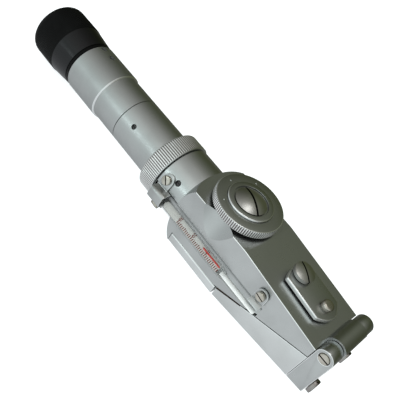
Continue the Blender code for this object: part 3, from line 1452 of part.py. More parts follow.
def build_set_screws():
    """Headless screws in the neck, the lower tube and the upper sleeve."""
    screws = [set_screw("neck_set_screw", PORT_FROM_RING, NECK_RADIUS - SET_SCREW_SINK,
                        AXIAL_BORE_RADIUS, PORT_ANGLE, PORT_RADIUS),
              set_screw("tube_set_screw", -TUBE_SCREW_FROM_RING,
                        TUBE_RADIUS - SET_SCREW_SINK, TUBE_BORE, TUBE_SCREW_ANGLE,
                        TUBE_SCREW_HOLE)]
    for number, distance in enumerate(sleeve_screw_places(), 1):
        screws.append(set_screw(f"sleeve_set_screw_{number}", distance,
                                SLEEVE_RADIUS - SET_SCREW_SINK / 2.0, SLEEVE_BORE,
                                SLEEVE_SCREW_ANGLE, SLEEVE_SCREW_HOLE))
    return screws


# Optics of the barrel

def lens(name, low, radius, thickness, bulge):
    """Lens with two bulging faces."""
    profile = [(low, 0.0)]
    for k in range(1, ROUND_STEPS + 1):
        share = k / ROUND_STEPS
        profile.append((low + bulge * share * share, radius * share))
    for k in range(ROUND_STEPS, 0, -1):
        share = k / ROUND_STEPS
        profile.append((low + thickness - bulge * share * share, radius * share))
    profile.append((low + thickness, 0.0))
    return axial(name, profile, MID_SIDES)


def build_objective_cell():
    """Cell of the objective, with a lip at the front."""
    outer = AXIAL_BORE_RADIUS - GAP
    bore = OBJECTIVE_RADIUS + GAP
    low = OBJECTIVE_FROM_RING
    high = low + OBJECTIVE_CELL_LENGTH
    lip = bore - CELL_WALL
    profile = [(low, bore), (low, outer), (high, outer), (high, lip),
               (high - CELL_WALL, lip), (high - CELL_WALL, bore)]
    return axial("objective_cell", profile, MID_SIDES)


def objective_low():
    """Distance of the objective's rear face."""
    high = OBJECTIVE_FROM_RING + OBJECTIVE_CELL_LENGTH - CELL_WALL
    return high - GAP - OBJECTIVE_THICKNESS


def build_objective():
    """Objective lens."""
    return lens("objective_lens", objective_low(), OBJECTIVE_RADIUS, OBJECTIVE_THICKNESS,
                LENS_BULGE)


def reticle_limits():
    """Distances of the reticle cell's front and rear ends."""
    front = middle_limits()[1] - UPPER_PLUG_LENGTH - GAP
    return front, front - RETICLE_CELL_LENGTH


def build_reticle_cell():
    """Cell of the reticle with a lip at the front."""
    front, rear = reticle_limits()
    outer = SLEEVE_BORE - GAP
    bore = outer - CELL_WALL
    lip = bore - RETICLE_LEDGE
    profile = [(rear, bore), (rear, outer), (front, outer), (front, lip),
               (front - CELL_WALL, lip), (front - CELL_WALL, bore)]
    return axial("reticle_cell", profile, MID_SIDES)


def build_reticle():
    """Glass disc with the scale that the user reads."""
    front = reticle_limits()[0] - CELL_WALL - GAP
    radius = SLEEVE_BORE - 2.0 * GAP - CELL_WALL
    return bar("reticle", front - RETICLE_THICKNESS, front, radius, MID_SIDES)


# Eyepiece

def collar_rear():
    """Distance of the rear face of the eyepiece bush's collar."""
    return sleeve_limits()[1] - GAP - COLLAR_LENGTH


def cap_front():
    """Distance of the front edge of the eyepiece cap."""
    return collar_rear() - COLLAR_TO_CAP


def cap_rear():
    """Distance of the rear face of the eyepiece cap."""
    return cap_front() - CAP_CONE_LENGTH - CAP_KNURL_LENGTH - CAP_END_LENGTH


def build_bush_eyepiece():
    """Black bush that the eyepiece runs on, with its visible collar."""
    front = sleeve_limits()[1] - GAP
    rear = collar_rear()
    profile = [(rear - BUSH_NECK_LENGTH, BUSH_BORE), (rear - BUSH_NECK_LENGTH, BUSH_NECK_RADIUS),
               (rear, BUSH_NECK_RADIUS), (rear, COLLAR_RADIUS), (front, COLLAR_RADIUS),
               (front, BUSH_PLUG_RADIUS), (front + BUSH_PLUG_LENGTH, BUSH_PLUG_RADIUS),
               (front + BUSH_PLUG_LENGTH, BUSH_BORE)]
    return axial("eyepiece_bush", profile, BIG_SIDES)


def web_limits():
    """Distances of the front and rear faces of the web inside the cap."""
    rear = cap_rear() + CAP_WEB_START - CAP_WEB
    return rear + CAP_WEB, rear


def build_cap():
    """Black cap that is turned to focus: cone, knurled grip and round end."""
    front = cap_front()
    cone = front - CAP_CONE_LENGTH
    grip = cone - CAP_KNURL_LENGTH
    end = cap_rear()
    web_front, web_rear = web_limits()
    web_bore = LENS_CELL_RADIUS + GAP
    rim = CAP_KNURL_RADIUS - CAP_ROUND
    profile = [(web_rear, CAP_EYE_BORE), (end, CAP_EYE_BORE), (end, rim)]
    for k in range(1, ROUND_STEPS):
        angle = math.pi / 2.0 * k / ROUND_STEPS
        profile.append((end + CAP_END_LENGTH * (1.0 - math.cos(angle)),
                        rim + CAP_ROUND * math.sin(angle)))
    profile += [(grip, CAP_KNURL_RADIUS), (cone, CAP_KNURL_RADIUS),
                (front, CAP_CONE_END_RADIUS), (front, CAP_NECK_BORE),
                (web_front, CAP_NECK_BORE), (web_front, web_bore), (web_rear, web_bore)]
    return axial("eyepiece_cap", profile, BIG_SIDES)


def build_eye_plate():
    """Dished plate that closes the cap round the eye opening."""
    rear = cap_rear() + EYE_PLATE_SINK
    throat = rear + EYE_DISH_DEPTH
    skirt = throat + EYE_THROAT
    front = web_limits()[1] - CELL_FLANGE_LENGTH - 2.0 * GAP
    profile = [(front, EYE_SKIRT_BORE), (skirt, EYE_SKIRT_BORE), (skirt, EYE_OPENING),
               (throat, EYE_OPENING), (rear, EYE_DISH_RADIUS), (rear, EYE_PLATE_RADIUS),
               (front, EYE_PLATE_RADIUS)]
    return axial("eye_plate", profile, BIG_SIDES)


def cell_rear():
    """Distance of the lens cell's rear face."""
    return web_limits()[1] - GAP - CELL_FLANGE_LENGTH


def build_lens_cell():
    """Sliding cell of the eyepiece lenses, flanged at the eye end."""
    rear = cell_rear()
    front = rear + LENS_CELL_LENGTH
    flange = rear + CELL_FLANGE_LENGTH
    eye_seat = cell_rear() + EYE_SEAT_DEPTH
    field_seat = field_low() - GAP
    profile = [(rear, LENS_CELL_BORE), (rear, CELL_FLANGE_RADIUS),
               (flange, CELL_FLANGE_RADIUS), (flange, LENS_CELL_RADIUS),
               (front, LENS_CELL_RADIUS), (front, LENS_CELL_BORE),
               (field_seat, LENS_CELL_BORE), (field_seat, CELL_LIP_BORE),
               (eye_seat, CELL_LIP_BORE), (eye_seat, LENS_CELL_BORE)]
    return axial("lens_cell", profile, MID_SIDES)


def field_low():
    """Distance of the field lens's rear face."""
    front = cell_rear() + LENS_CELL_LENGTH
    return front - LENS_RING - 2.0 * GAP - FIELD_LENS_THICKNESS


def build_eye_lens():
    """Lens nearest the eye."""
    low = cell_rear() + EYE_SEAT_DEPTH - GAP - EYE_LENS_THICKNESS
    return lens("eye_lens", low, LENS_CELL_BORE - GAP, EYE_LENS_THICKNESS, LENS_BULGE)


def build_field_lens():
    """Lens nearest the reticle."""
    return lens("field_lens", field_low(), LENS_CELL_BORE - GAP, FIELD_LENS_THICKNESS,
                LENS_BULGE)


def build_cell_ring():
    """Threaded ring that closes the lens cell."""
    low = field_low() + FIELD_LENS_THICKNESS + GAP
    return sleeve("cell_ring", low, low + LENS_RING, LENS_CELL_BORE - GAP,
                  LENS_CELL_BORE - GAP - CELL_WALL, MID_SIDES)


# Thermometer and clips

def thermo_y():
    """Y of the thermometer's axis."""
    return -(BLOCK_HALF_WIDTH + THERMO_OUT)


def build_thermometer_tube():
    """Glass tube, closed at the top and drawn in round the stem."""
    low = THERMO_START
    wall = THERMO_WALL
    outer = THERMO_TUBE_RADIUS
    neck = THERMO_STEM_RADIUS + GAP
    end = low + THERMO_TUBE_LENGTH
    profile = [(low, 0.0)]
    for k in range(1, ROUND_STEPS + 1):
        angle = math.pi / 2.0 * k / ROUND_STEPS
        profile.append((low + outer - outer * math.cos(angle), outer * math.sin(angle)))
    profile += [(end, outer), (end + THERMO_FUNNEL, neck + wall),
                (end + THERMO_FUNNEL, neck), (end, outer - wall)]
    for k in range(ROUND_STEPS, 0, -1):
        angle = math.pi / 2.0 * k / ROUND_STEPS
        profile.append((low + outer - (outer - wall) * math.cos(angle),
                        (outer - wall) * math.sin(angle)))
    profile.append((low + wall, 0.0))
    return axial("thermometer_tube", profile, SMALL_SIDES, thermo_y(), THERMO_HEIGHT)


def scale_frame():
    """In-plane and outward directions of the tilted scale strip."""
    across_strip = Vector((0.0, math.cos(THERMO_TILT), math.sin(THERMO_TILT)))
    outward = Vector((0.0, -math.sin(THERMO_TILT), math.cos(THERMO_TILT)))
    return across_strip, outward


def build_thermometer_scale():
    """Flat white scale strip inside the glass."""
    across_strip, outward = scale_frame()
    low = THERMO_START + THERMO_SCALE_INSET
    base = Vector((along(low), thermo_y(), up(THERMO_HEIGHT))) - outward * THERMO_SCALE_BACK
    half = across_strip * THERMO_SCALE_HALF_WIDTH
    rise = outward * THERMO_SCALE_THICKNESS
    corners = [base - half, base + half, base + half + rise, base - half + rise]
    length = THERMO_TUBE_LENGTH - 2.0 * THERMO_SCALE_INSET
    return prism("thermometer_scale", corners, Vector((length, 0.0, 0.0)))


def build_thermometer_column():
    """Thin red column in front of the scale strip."""
    across_strip, outward = scale_frame()
    rise = THERMO_SCALE_THICKNESS - THERMO_SCALE_BACK + GAP + THERMO_COLUMN_RADIUS
    start = Vector((along(THERMO_START + THERMO_COLUMN_START), thermo_y(),
                    up(THERMO_HEIGHT)))
    start += across_strip * THERMO_COLUMN_SIDE + outward * rise
    return rod("thermometer_column", start, X_AXIS, THERMO_COLUMN_LENGTH,
               THERMO_COLUMN_RADIUS, TINY_SIDES)


def build_thermometer_stem():
    """White stem below the glass tube."""
    low = THERMO_START + THERMO_TUBE_LENGTH + GAP
    high = low + THERMO_FUNNEL + THERMO_STEM_LENGTH
    edge = THERMO_STEM_RADIUS / 2.0
    profile = [(low, 0.0), (low, THERMO_STEM_RADIUS), (high - edge, THERMO_STEM_RADIUS),
               (high, edge), (high, 0.0)]
    return axial("thermometer_stem", profile, SMALL_SIDES, thermo_y(), THERMO_HEIGHT)


def tab_tip(reach, half_width):
    """Half widths of a rounded tab at runs from its tip to its widest place."""
    rows = []
    for k in range(1, CLIP_TAB_STEPS + 1):
        angle = math.pi / 2.0 * k / CLIP_TAB_STEPS
        rows.append((reach * math.cos(angle), half_width * math.sin(angle)))
    return rows


def section_stations(path, x, low, high):
    """Strip stations from a path of (y, height), its outward side on the left."""
    stations = []
    points = [Vector(point) for point in path]
    for k, point in enumerate(points):
        before = points[max(k - 1, 0)]
        after = points[min(k + 1, len(points) - 1)]
        run = (after - before).normalized()
        normal = Vector((0.0, run.y, -run.x))
        stations.append((Vector((along(x), point.x, up(point.y))), normal, X_AXIS, low, high))
    return stations


def foot_stations(angle, turn):
    """Stations of a rounded foot on the neck, from its tip to its root."""
    radius = NECK_RADIUS + GAP
    stations = []
    for reach, half in tab_tip(FOOT_TIP, FOOT_HALF_WIDTH):
        here = math.pi - angle - turn * reach / radius
        stations.append((radial(UPPER_FOOT_CENTRE, radius, here), radial_axis(here), X_AXIS,
                         -half, half))
    return stations


def build_upper_clip():
    """Saddle over the glass tube with two feet on the neck."""
    radius = NECK_RADIUS + GAP
    wall = thermo_y() - THERMO_TUBE_RADIUS - GAP
    corner = SADDLE_CORNER
    root_y = -math.sqrt(radius * radius - SADDLE_TOP * SADDLE_TOP)
    foot_y = -math.sqrt(radius * radius - SADDLE_FOOT * SADDLE_FOOT)
    path = [(root_y, SADDLE_TOP), (wall + corner, SADDLE_TOP), (wall, SADDLE_TOP - corner),
            (wall, SADDLE_FOOT + corner), (wall + corner, SADDLE_FOOT),
            (foot_y, SADDLE_FOOT)]
    low = SADDLE_START - UPPER_FOOT_CENTRE
    saddle = strip("upper_clip",
                   section_stations(path, UPPER_FOOT_CENTRE, low, low + SADDLE_LENGTH),
                   CLIP_THICKNESS)
    upper = foot_stations(UPPER_FOOT_ANGLE, 1.0)
    root = math.pi - math.asin(SADDLE_TOP / radius)
    upper.append((radial(UPPER_FOOT_CENTRE, radius, root), radial_axis(root), X_AXIS,
                  -FOOT_HALF_WIDTH, FOOT_HALF_WIDTH))
    lower = foot_stations(LOWER_FOOT_ANGLE, -1.0)
    root = math.pi - math.asin(SADDLE_FOOT / radius)
    lower.append((radial(UPPER_FOOT_CENTRE, radius, root), radial_axis(root), X_AXIS,
                  -FOOT_HALF_WIDTH, FOOT_HALF_WIDTH))
    join(saddle, strip("foot", upper, CLIP_THICKNESS), strip("foot", lower, CLIP_THICKNESS))
    for point, axis in clip_screw_seats()[:2]:
        cut(saddle, hole(point + axis * OVERRUN, -axis, 2.0 * OVERRUN,
                         CLIP_SCREW_SHANK_RADIUS + GAP))
    return saddle


def build_lower_clip():
    """Tab on the block's side whose lip bears on the stem."""
    wall = -(BLOCK_HALF_WIDTH + GAP)
    stations = []
    for reach, half in tab_tip(LOWER_CLIP_RADIUS, LOWER_CLIP_RADIUS):
        point = Vector((along(LOWER_CLIP_CENTRE), wall, up(LOWER_CLIP_SCREW_HEIGHT + reach)))
        stations.append((point, -Y_AXIS, X_AXIS, -half, half))
    grip = THERMO_STEM_RADIUS + GAP
    side = thermo_y()
    path = [(wall, LOWER_CLIP_SCREW_HEIGHT), (wall, LOWER_CLIP_BEND),
            (wall - GAP, THERMO_HEIGHT + grip + GAP), (side, THERMO_HEIGHT + grip),
            (side - LOWER_CLIP_REACH, THERMO_HEIGHT + grip - GAP)]
    stations = stations[:-1] + section_stations(path, LOWER_CLIP_CENTRE, -LOWER_CLIP_RADIUS,
                                                LOWER_CLIP_RADIUS)
    clip = strip("lower_clip", stations, CLIP_THICKNESS)
    point, axis = clip_screw_seats()[2]
    return cut(clip, hole(point + axis * OVERRUN, -axis, 2.0 * OVERRUN,
                          CLIP_SCREW_SHANK_RADIUS + GAP))


def build_clip_screws():
    """Three slotted screws of the clips."""
    screws = []
    bite = CLIP_THICKNESS + 2.0 * GAP + CLIP_SCREW_BITE
    names = ("clip_screw_upper", "clip_screw_under", "clip_screw_stem")
    for name, (point, axis) in zip(names, clip_screw_seats()):
        tangent = X_AXIS.cross(axis).normalized()
        screws.append(cheese_screw(name, point, axis, tangent, CLIP_SCREW_HEAD_RADIUS,
                                   CLIP_SCREW_HEAD_HEIGHT, CLIP_SCREW_SHANK_RADIUS, bite))
    return screws


# Assembly

def main():
    """Clear the scene, build every piece and place it."""
    for obj in list(bpy.data.objects):
        bpy.data.objects.remove(obj)
    still = pivot("body_frame", Vector((0.0, 0.0, 0.0)))
    knob_axis = pivot("knob_axis", Vector((0.0, 0.0, up(BLOCK_TOP))))
    lid_axis = pivot("lid_axis", Vector((along(HINGE_X), 0.0, up(HINGE_HEIGHT))))
    shutter_axis = pivot("shutter_axis", top_point(SHUTTER_PIVOT))
    ring_axis = pivot("ring_axis", Vector((along(-RING_LENGTH / 2.0), 0.0, up(0.0))))
    focus_axis = pivot("focus_axis", Vector((along(cap_front()), 0.0, up(0.0))))
    place(still, SATIN, build_casting(), build_base_plate(), build_lower_tube(),
          build_middle_tube(), build_upper_tube(), build_upper_clip(), build_lower_clip())
    place(still, NICKEL, *build_base_screws(), *build_clip_screws(), build_shutter_screw(),
          build_detent_spring())
    place(still, BRIGHT, build_detent_ball())
    place(still, DARK, build_objective_cell(), *build_set_screws())
    place(still, BRASS, build_prism_mask(), build_reticle_cell(), build_bush())
    place(still, GLASS, build_measuring_prism(), build_light_window(), build_objective(),
          build_reticle(), build_thermometer_tube())
    place(still, MILK, build_thermometer_scale())
    place(still, RED, build_thermometer_column())
    place(still, WHITE, build_thermometer_stem())
    place(still, BLACK, build_bush_eyepiece())
    place(lid_axis, SATIN, build_lid(), build_bracket())
    place(lid_axis, NICKEL, build_pin(), *build_end_screws())
    place(lid_axis, GLASS, build_lighting_prism(), build_lid_window())
    place(lid_axis, BRASS, build_lid_mask())
    place(shutter_axis, SATIN, build_shutter())
    place(shutter_axis, NICKEL, build_shutter_knob())
    place(knob_axis, SATIN, build_range_knob(), build_clamp_ring())
    place(knob_axis, NICKEL, build_knob_screw(), build_drum_screw())
    place(knob_axis, BRIGHT, build_shaft())
    place(knob_axis, DARK, build_drum())
    place(knob_axis, GLASS, *build_range_prisms())
    place(ring_axis, SATIN, build_union_ring())
    place(focus_axis, BRASS, build_lens_cell(), build_cell_ring())
    place(focus_axis, GLASS, build_eye_lens(), build_field_lens())
    place(focus_axis, BLACK, build_cap(), build_eye_plate())


main()
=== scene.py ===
"""Looks of the handheld refractometer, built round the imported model.

Shapes are drawn in millimetres on three bench axes: the distance from the
union ring's front face towards the hinge, the side (negative is the
thermometer's side), and the height over the optical axis. A finished piece
is moved to the model's own place and scale in one step.
"""
import logging
import math
from dataclasses import dataclass, field
from enum import Enum
from typing import Any, Callable, Iterable, Sequence

import bmesh
import bpy
from mathutils import Matrix, Vector


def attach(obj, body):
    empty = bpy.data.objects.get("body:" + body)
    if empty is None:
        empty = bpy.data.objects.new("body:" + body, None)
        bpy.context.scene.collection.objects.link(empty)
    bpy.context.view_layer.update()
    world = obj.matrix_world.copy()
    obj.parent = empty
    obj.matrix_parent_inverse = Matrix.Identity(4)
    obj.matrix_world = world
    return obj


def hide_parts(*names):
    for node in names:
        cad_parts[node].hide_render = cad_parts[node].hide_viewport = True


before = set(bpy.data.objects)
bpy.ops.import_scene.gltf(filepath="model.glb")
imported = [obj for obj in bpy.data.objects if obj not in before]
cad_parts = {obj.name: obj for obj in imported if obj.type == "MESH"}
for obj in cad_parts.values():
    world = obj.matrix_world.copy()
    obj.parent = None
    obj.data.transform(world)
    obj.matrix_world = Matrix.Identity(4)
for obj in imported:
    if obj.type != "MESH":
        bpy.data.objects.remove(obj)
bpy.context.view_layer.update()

LOG = logging.getLogger("refractometer")

Point = Vector
Pair = tuple[float, float]
Outline = tuple[Pair, ...]
Colour = tuple[float, float, float]

MM = 0.001
TURN = 2.0 * math.pi
WELD = 0.0005
GROOVE = "groove"
MILLED = "milled"
EVEN_TURNS = 4096.0
BUMP_REACH = 0.02 * MM
CLOUD_DETAIL = 4.0
GRAIN_DETAIL = 3.0

# Millimetres that several pieces share
KNOB_FROM_RING = 35.14
AXIS_HEIGHT = 16.0
NECK = 15.17
HALF_WIDTH = 15.5
BARREL_BORE = 10.5
PORT_FROM_RING = 8.83
GAP = 0.3
SLACK = 0.1
OVERRUN = 3.0

PORT_ANGLE = math.radians(147.0)

# Least and greatest share of a chamfer's normal along its axis
CHAMFER_SHARES = (0.2, 0.95)

# Shares by which every fifth and every tenth stroke is longer
FIFTH_SHARE = 0.2
TENTH_SHARE = 0.15

ALONG = Vector((1.0, 0.0, 0.0))
ASIDE = Vector((0.0, 1.0, 0.0))
UPWARD = Vector((0.0, 0.0, 1.0))

# Bench axes in millimetres to the model's place in metres
TO_MODEL = Matrix.Scale(MM, 4) @ Matrix.Translation((-KNOB_FROM_RING, 0.0, AXIS_HEIGHT))

# Facets round a turned piece, and in each ridge of a milled one
FINE_ROUND = 192
ROUND = 128
WIDE_ROUND = 96
MIDDLE_ROUND = 64
SMALL_ROUND = 48
TINY_ROUND = 24
RIDGE_FACETS = 6


class Body(Enum):
    """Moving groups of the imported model."""

    STILL = "body"
    LID = "lid"
    SHUTTER = "shutter"
    KNOB = "range_knob"
    RING = "union_ring"
    CAP = "eyepiece_cap"


class Grain(Enum):
    """Ways in which a metal's surface was worked."""

    BLASTED = "blasted"
    TURNED = "turned"
    FACED = "faced"
    BRUSHED = "brushed"


class Layer(Enum):
    """Kinds of face on a piece, in the order of its material slots."""

    FACE = 0
    EDGE = 1
    LINING = 2


# Node graphs

class Signal:
    """A node's output that takes part in Python arithmetic."""

    def __init__(self, graph: "Graph", socket: bpy.types.NodeSocket) -> None:
        """Keeps the graph and the output socket."""
        self.graph = graph
        self.socket = socket

    def _math(self, operation: str, *values: Any) -> "Signal":
        """Adds a Math node on these values."""
        return self.graph.add("ShaderNodeMath", dict(enumerate(values)), operation=operation)[0]

    def __add__(self, other: Any) -> "Signal":
        """Sum."""
        return self._math("ADD", self, other)

    __radd__ = __add__

    def __mul__(self, other: Any) -> "Signal":
        """Product."""
        return self._math("MULTIPLY", self, other)

    __rmul__ = __mul__

    def __sub__(self, other: Any) -> "Signal":
        """Difference."""
        return self._math("SUBTRACT", self, other)

    def __rsub__(self, other: Any) -> "Signal":
        """Difference the other way round."""
        return self._math("SUBTRACT", other, self)

    def __truediv__(self, other: Any) -> "Signal":
        """Quotient."""
        return self._math("DIVIDE", self, other)

    def __rtruediv__(self, other: Any) -> "Signal":
        """Quotient the other way round."""
        return self._math("DIVIDE", other, self)

    def __pow__(self, other: Any) -> "Signal":
        """Power."""
        return self._math("POWER", self, other)

    def least(self, other: Any) -> "Signal":
        """Smaller of two values."""
        return self._math("MINIMUM", self, other)

    def above(self, other: Any) -> "Signal":
        """One where the value is greater, and zero elsewhere."""
        return self._math("GREATER_THAN", self, other)

    def bounce(self, top: float) -> "Signal":
        """Triangle wave between zero and a top."""
        return self._math("PINGPONG", self, top)

    def remainder(self, divisor: float) -> "Signal":
        """What a division leaves."""
        return self._math("MODULO", self, divisor)

    def angle_over(self, run: "Signal") -> "Signal":
        """Angle of a line that rises by this over a run."""
        return self._math("ARCTAN2", self, run)

    def ramp(self, low: Any, high: Any, start: float = 0.0, end: float = 1.0) -> "Signal":
        """Smooth step from a start to an end between two values."""
        return self.graph.add("ShaderNodeMapRange",
                              {0: self, 1: low, 2: high, 3: start, 4: end},
                              interpolation_type="SMOOTHSTEP")[0]


class Made:
    """A node that was made, with its outputs as signals."""

    def __init__(self, graph: "Graph", node: bpy.types.Node) -> None:
        """Keeps the node and its graph."""
        self.graph = graph
        self.node = node

    def __getitem__(self, key: int | str) -> Signal:
        """Output by name or number."""
        return Signal(self.graph, self.node.outputs[key])


class Graph:
    """A shader, world or geometry node tree with one node-making method."""

    def __init__(self, tree: bpy.types.NodeTree) -> None:
        """Takes over a tree and empties it."""
        self.tree = tree
        tree.nodes.clear()

    def add(self, kind: str, sockets: dict[int | str, Any] | None = None,
            **settings: Any) -> Made:
        """Makes any node.

        Args:
            kind: The node's type.
            sockets: Values or signals of its inputs, by name or number.
            **settings: Properties of the node, or a ramp's stops, set first.

        Returns:
            The node with its outputs.
        """
        node = self.tree.nodes.new(kind)
        for key, value in settings.items():
            if key == "stops":
                self._stops(node.color_ramp, value)
            else:
                setattr(node, key, value)
        for key, value in (sockets or {}).items():
            if isinstance(value, Made):
                value = value[0]
            if isinstance(value, Signal):
                self.tree.links.new(value.socket, node.inputs[key])
            else:
                node.inputs[key].default_value = value
        return Made(self, node)

    @staticmethod
    def _stops(ramp: bpy.types.ColorRamp, stops: Sequence[tuple[float, Colour]]) -> None:
        """Sets the stops of a colour ramp."""
        while len(ramp.elements) < len(stops):
            ramp.elements.new(1.0)
        for element, (place, colour) in zip(ramp.elements, stops):
            element.position = place
            element.color = (*colour, 1.0)

    def blend(self, factor: Any, first: Any, second: Any) -> Signal:
        """Mixes two colours or colour signals by the share of the second."""
        sides = [(*c, 1.0) if isinstance(c, tuple) else c for c in (first, second)]
        return self.add("ShaderNodeMix", {0: factor, 6: sides[0], 7: sides[1]},
                        data_type="RGBA")[2]


# Finishes

class Pattern:
    """Surface patterns on a piece's own object coordinates."""

    def __init__(self, graph: Graph) -> None:
        """Reads the object coordinates once."""
        self.graph = graph
        self.place = graph.add("ShaderNodeTexCoord")["Object"]

    def noise(self, scale: float, detail: float = 2.0, vector: Signal | None = None) -> Signal:
        """Cloudy noise with a number of cells in a metre, on the object's place or a vector."""
        return self.graph.add("ShaderNodeTexNoise",
                              {"Vector": vector or self.place, "Scale": scale,
                               "Detail": detail})["Fac"]

    def stretched(self, scale: Colour, centre: Colour = (0.0, 0.0, 0.0)) -> Signal:
        """Object coordinates measured from a centre and scaled on each axis."""
        shift = tuple(-c * s for c, s in zip(centre, scale))
        return self.graph.add("ShaderNodeMapping",
                              {"Vector": self.place, "Location": shift, "Scale": scale})[0]

    def rings(self, per_metre: float) -> Signal:
        """Noise in rings round the knob's upright axis."""
        flat = self.stretched((1.0, 1.0, 0.0))
        radius = self.graph.add("ShaderNodeVectorMath", {0: flat}, operation="LENGTH")["Value"]
        line = self.graph.add("ShaderNodeCombineXYZ", {0: radius})[0]
        return self.noise(per_metre, GRAIN_DETAIL, line)

    def grain(self, kind: Grain, per_metre: float) -> Signal:
        """Noise that follows the way the surface was worked.

        Args:
            kind: Way of working.
            per_metre: Marks in a metre across the grain.

        Returns:
            The grain between zero and one.
        """
        if kind is Grain.FACED:
            return self.rings(per_metre)
        slow = 0.02
        scales = {Grain.TURNED: (1.0, slow, slow), Grain.BRUSHED: (slow, 1.0, 1.0),
                  Grain.BLASTED: (1.0, 1.0, 1.0)}
        return self.noise(per_metre, GRAIN_DETAIL, self.stretched(scales[kind]))

    def smear(self, scale: float) -> Signal:
        """Smears of handling between zero and one."""
        return self.noise(scale, GRAIN_DETAIL).ramp(0.4, 0.8)

    def relief(self, strength: float, height: Signal) -> Signal:
        """Normal of bumps that follow a height."""
        return self.graph.add("ShaderNodeBump", {"Strength": strength, "Distance": BUMP_REACH,
                                                 "Height": height})[0]


class Finish:
    """A material that is made once and shared by its pieces."""

    name: str
    slot: str

    def graph_of(self, graph: Graph) -> Signal:
        """Builds the shader; each finish says how."""
        raise NotImplementedError

    def material(self) -> bpy.types.Material:
        """Material of this finish, made at its first use."""
        found = bpy.data.materials.get(self.name)
        if found is not None:
            return found
        made = bpy.data.materials.new(self.name)
        made.use_nodes = True
        graph = Graph(made.node_tree)
        shader = self.graph_of(graph)
        graph.add("ShaderNodeOutputMaterial", {"Surface": shader})
        return made


@dataclass(frozen=True)
class Metal(Finish):
    """Metal with a worked grain, faint stains, uneven polish and, on ridged pieces, painted shade in
    the grooves.
    """

    name: str
    slot: str
    bright: Colour
    dull: Colour
    roughness: float
    spread: float = 0.06
    grain: Grain = Grain.BLASTED
    marks: float = 4200.0
    depth: float = 0.25
    stain_scale: float = 60.0
    grooved: bool = False
    cloud_edges: Pair = (0.35, 0.7)
    cloud_share: float = 0.6
    grain_share: float = 0.3
    speck_edges: Pair = (0.62, 0.78)
    speck_share: float = 0.25
    marks_in_speck: float = 3.0
    groove_edges: Pair = (0.25, 0.9)
    # Extra roughness where the grooves are painted in shade
    groove_shade_roughness: float = 0.2

    def graph_of(self, graph: Graph) -> Signal:
        """Principled metal whose tone, polish and relief follow its grain."""
        pattern = Pattern(graph)
        grain = pattern.grain(self.grain, self.marks)
        cloud = pattern.noise(self.stain_scale, CLOUD_DETAIL).ramp(*self.cloud_edges)
        speck = pattern.noise(self.marks / self.marks_in_speck).ramp(*self.speck_edges)
        tone = (cloud * self.cloud_share + grain * self.grain_share
                + speck * self.speck_share).least(1.0)
        colour = graph.blend(tone, self.bright, self.dull)
        rough = self.roughness + self.spread * (cloud - 0.5) + self.spread * (grain - 0.5)
        # Ridged pieces: the grooves are painted darker as shade, and the milled band takes a lighter
        # metal tone
        if self.grooved:
            groove = graph.add("ShaderNodeAttribute", attribute_name=GROOVE)["Fac"]
            milled = graph.add("ShaderNodeAttribute", attribute_name=MILLED)["Fac"]
            groove_shade = groove.ramp(*self.groove_edges)
            colour = graph.blend(milled, colour, RIM_LIGHT)
            colour = graph.blend(groove_shade, colour, GROOVE_SHADE)
            rough = rough + self.groove_shade_roughness * groove_shade
        return graph.add("ShaderNodeBsdfPrincipled",
                         {"Base Color": colour, "Metallic": 1.0, "Roughness": rough,
                          "Normal": pattern.relief(self.depth, grain)})[0]


@dataclass(frozen=True)
class Moulded(Finish):
    """Opaque coat or plastic: black parts, white glass and printed marks."""

    name: str
    slot: str
    base: Colour
    worn: Colour
    roughness: float
    coat: float = 0.0
    shine: float = 0.5
    grain: Grain = Grain.BLASTED
    marks: float = 3000.0
    depth: float = 0.15
    coat_roughness: float = 0.08
    scuff_scale: float = 90.0
    scuff_edges: Pair = (0.45, 0.75)
    scuff_share: float = 0.5
    scuff_roughness: float = 0.08
    dust_scale: float = 1900.0
    dust_edges: Pair = (0.66, 0.74)
    dust_share: float = 0.4
    dust_roughness: float = 0.1

    def graph_of(self, graph: Graph) -> Signal:
        """Principled coat with faint scuffs, dust and tool lines."""
        pattern = Pattern(graph)
        grain = pattern.grain(self.grain, self.marks)
        scuff = pattern.noise(self.scuff_scale, CLOUD_DETAIL).ramp(*self.scuff_edges)
        dust = pattern.noise(self.dust_scale).ramp(*self.dust_edges)
        wear = (scuff * self.scuff_share + dust * self.dust_share).least(1.0)
        colour = graph.blend(wear, self.base, self.worn)
        rough = self.roughness + self.scuff_roughness * (scuff - 0.5) + self.dust_roughness * dust
        return graph.add("ShaderNodeBsdfPrincipled",
                         {"Base Color": colour, "Metallic": 0.0, "Roughness": rough,
                          "Specular IOR Level": self.shine, "Coat Weight": self.coat,
                          "Coat Roughness": self.coat_roughness,
                          "Normal": pattern.relief(self.depth, grain)})[0]


@dataclass(frozen=True)
class Clear(Finish):
    """Glass with a faint haze of handling."""

    name: str
    slot: str
    tint: Colour
    haze: float = 0.02
    bending: float = 1.5
    smear_scale: float = 130.0
    smear_roughness: float = 0.05
    ripple_scale: float = 420.0
    ripple_depth: float = 0.08

    def graph_of(self, graph: Graph) -> Signal:
        """Transmissive glass with smears in its polish."""
        pattern = Pattern(graph)
        smear = pattern.smear(self.smear_scale)
        relief = pattern.relief(self.ripple_depth, pattern.noise(self.ripple_scale))
        return graph.add("ShaderNodeBsdfPrincipled",
                         {"Base Color": (*self.tint, 1.0),
                          "Roughness": self.haze + self.smear_roughness * smear,
                          "IOR": self.bending, "Transmission Weight": 1.0, "Normal": relief})[0]


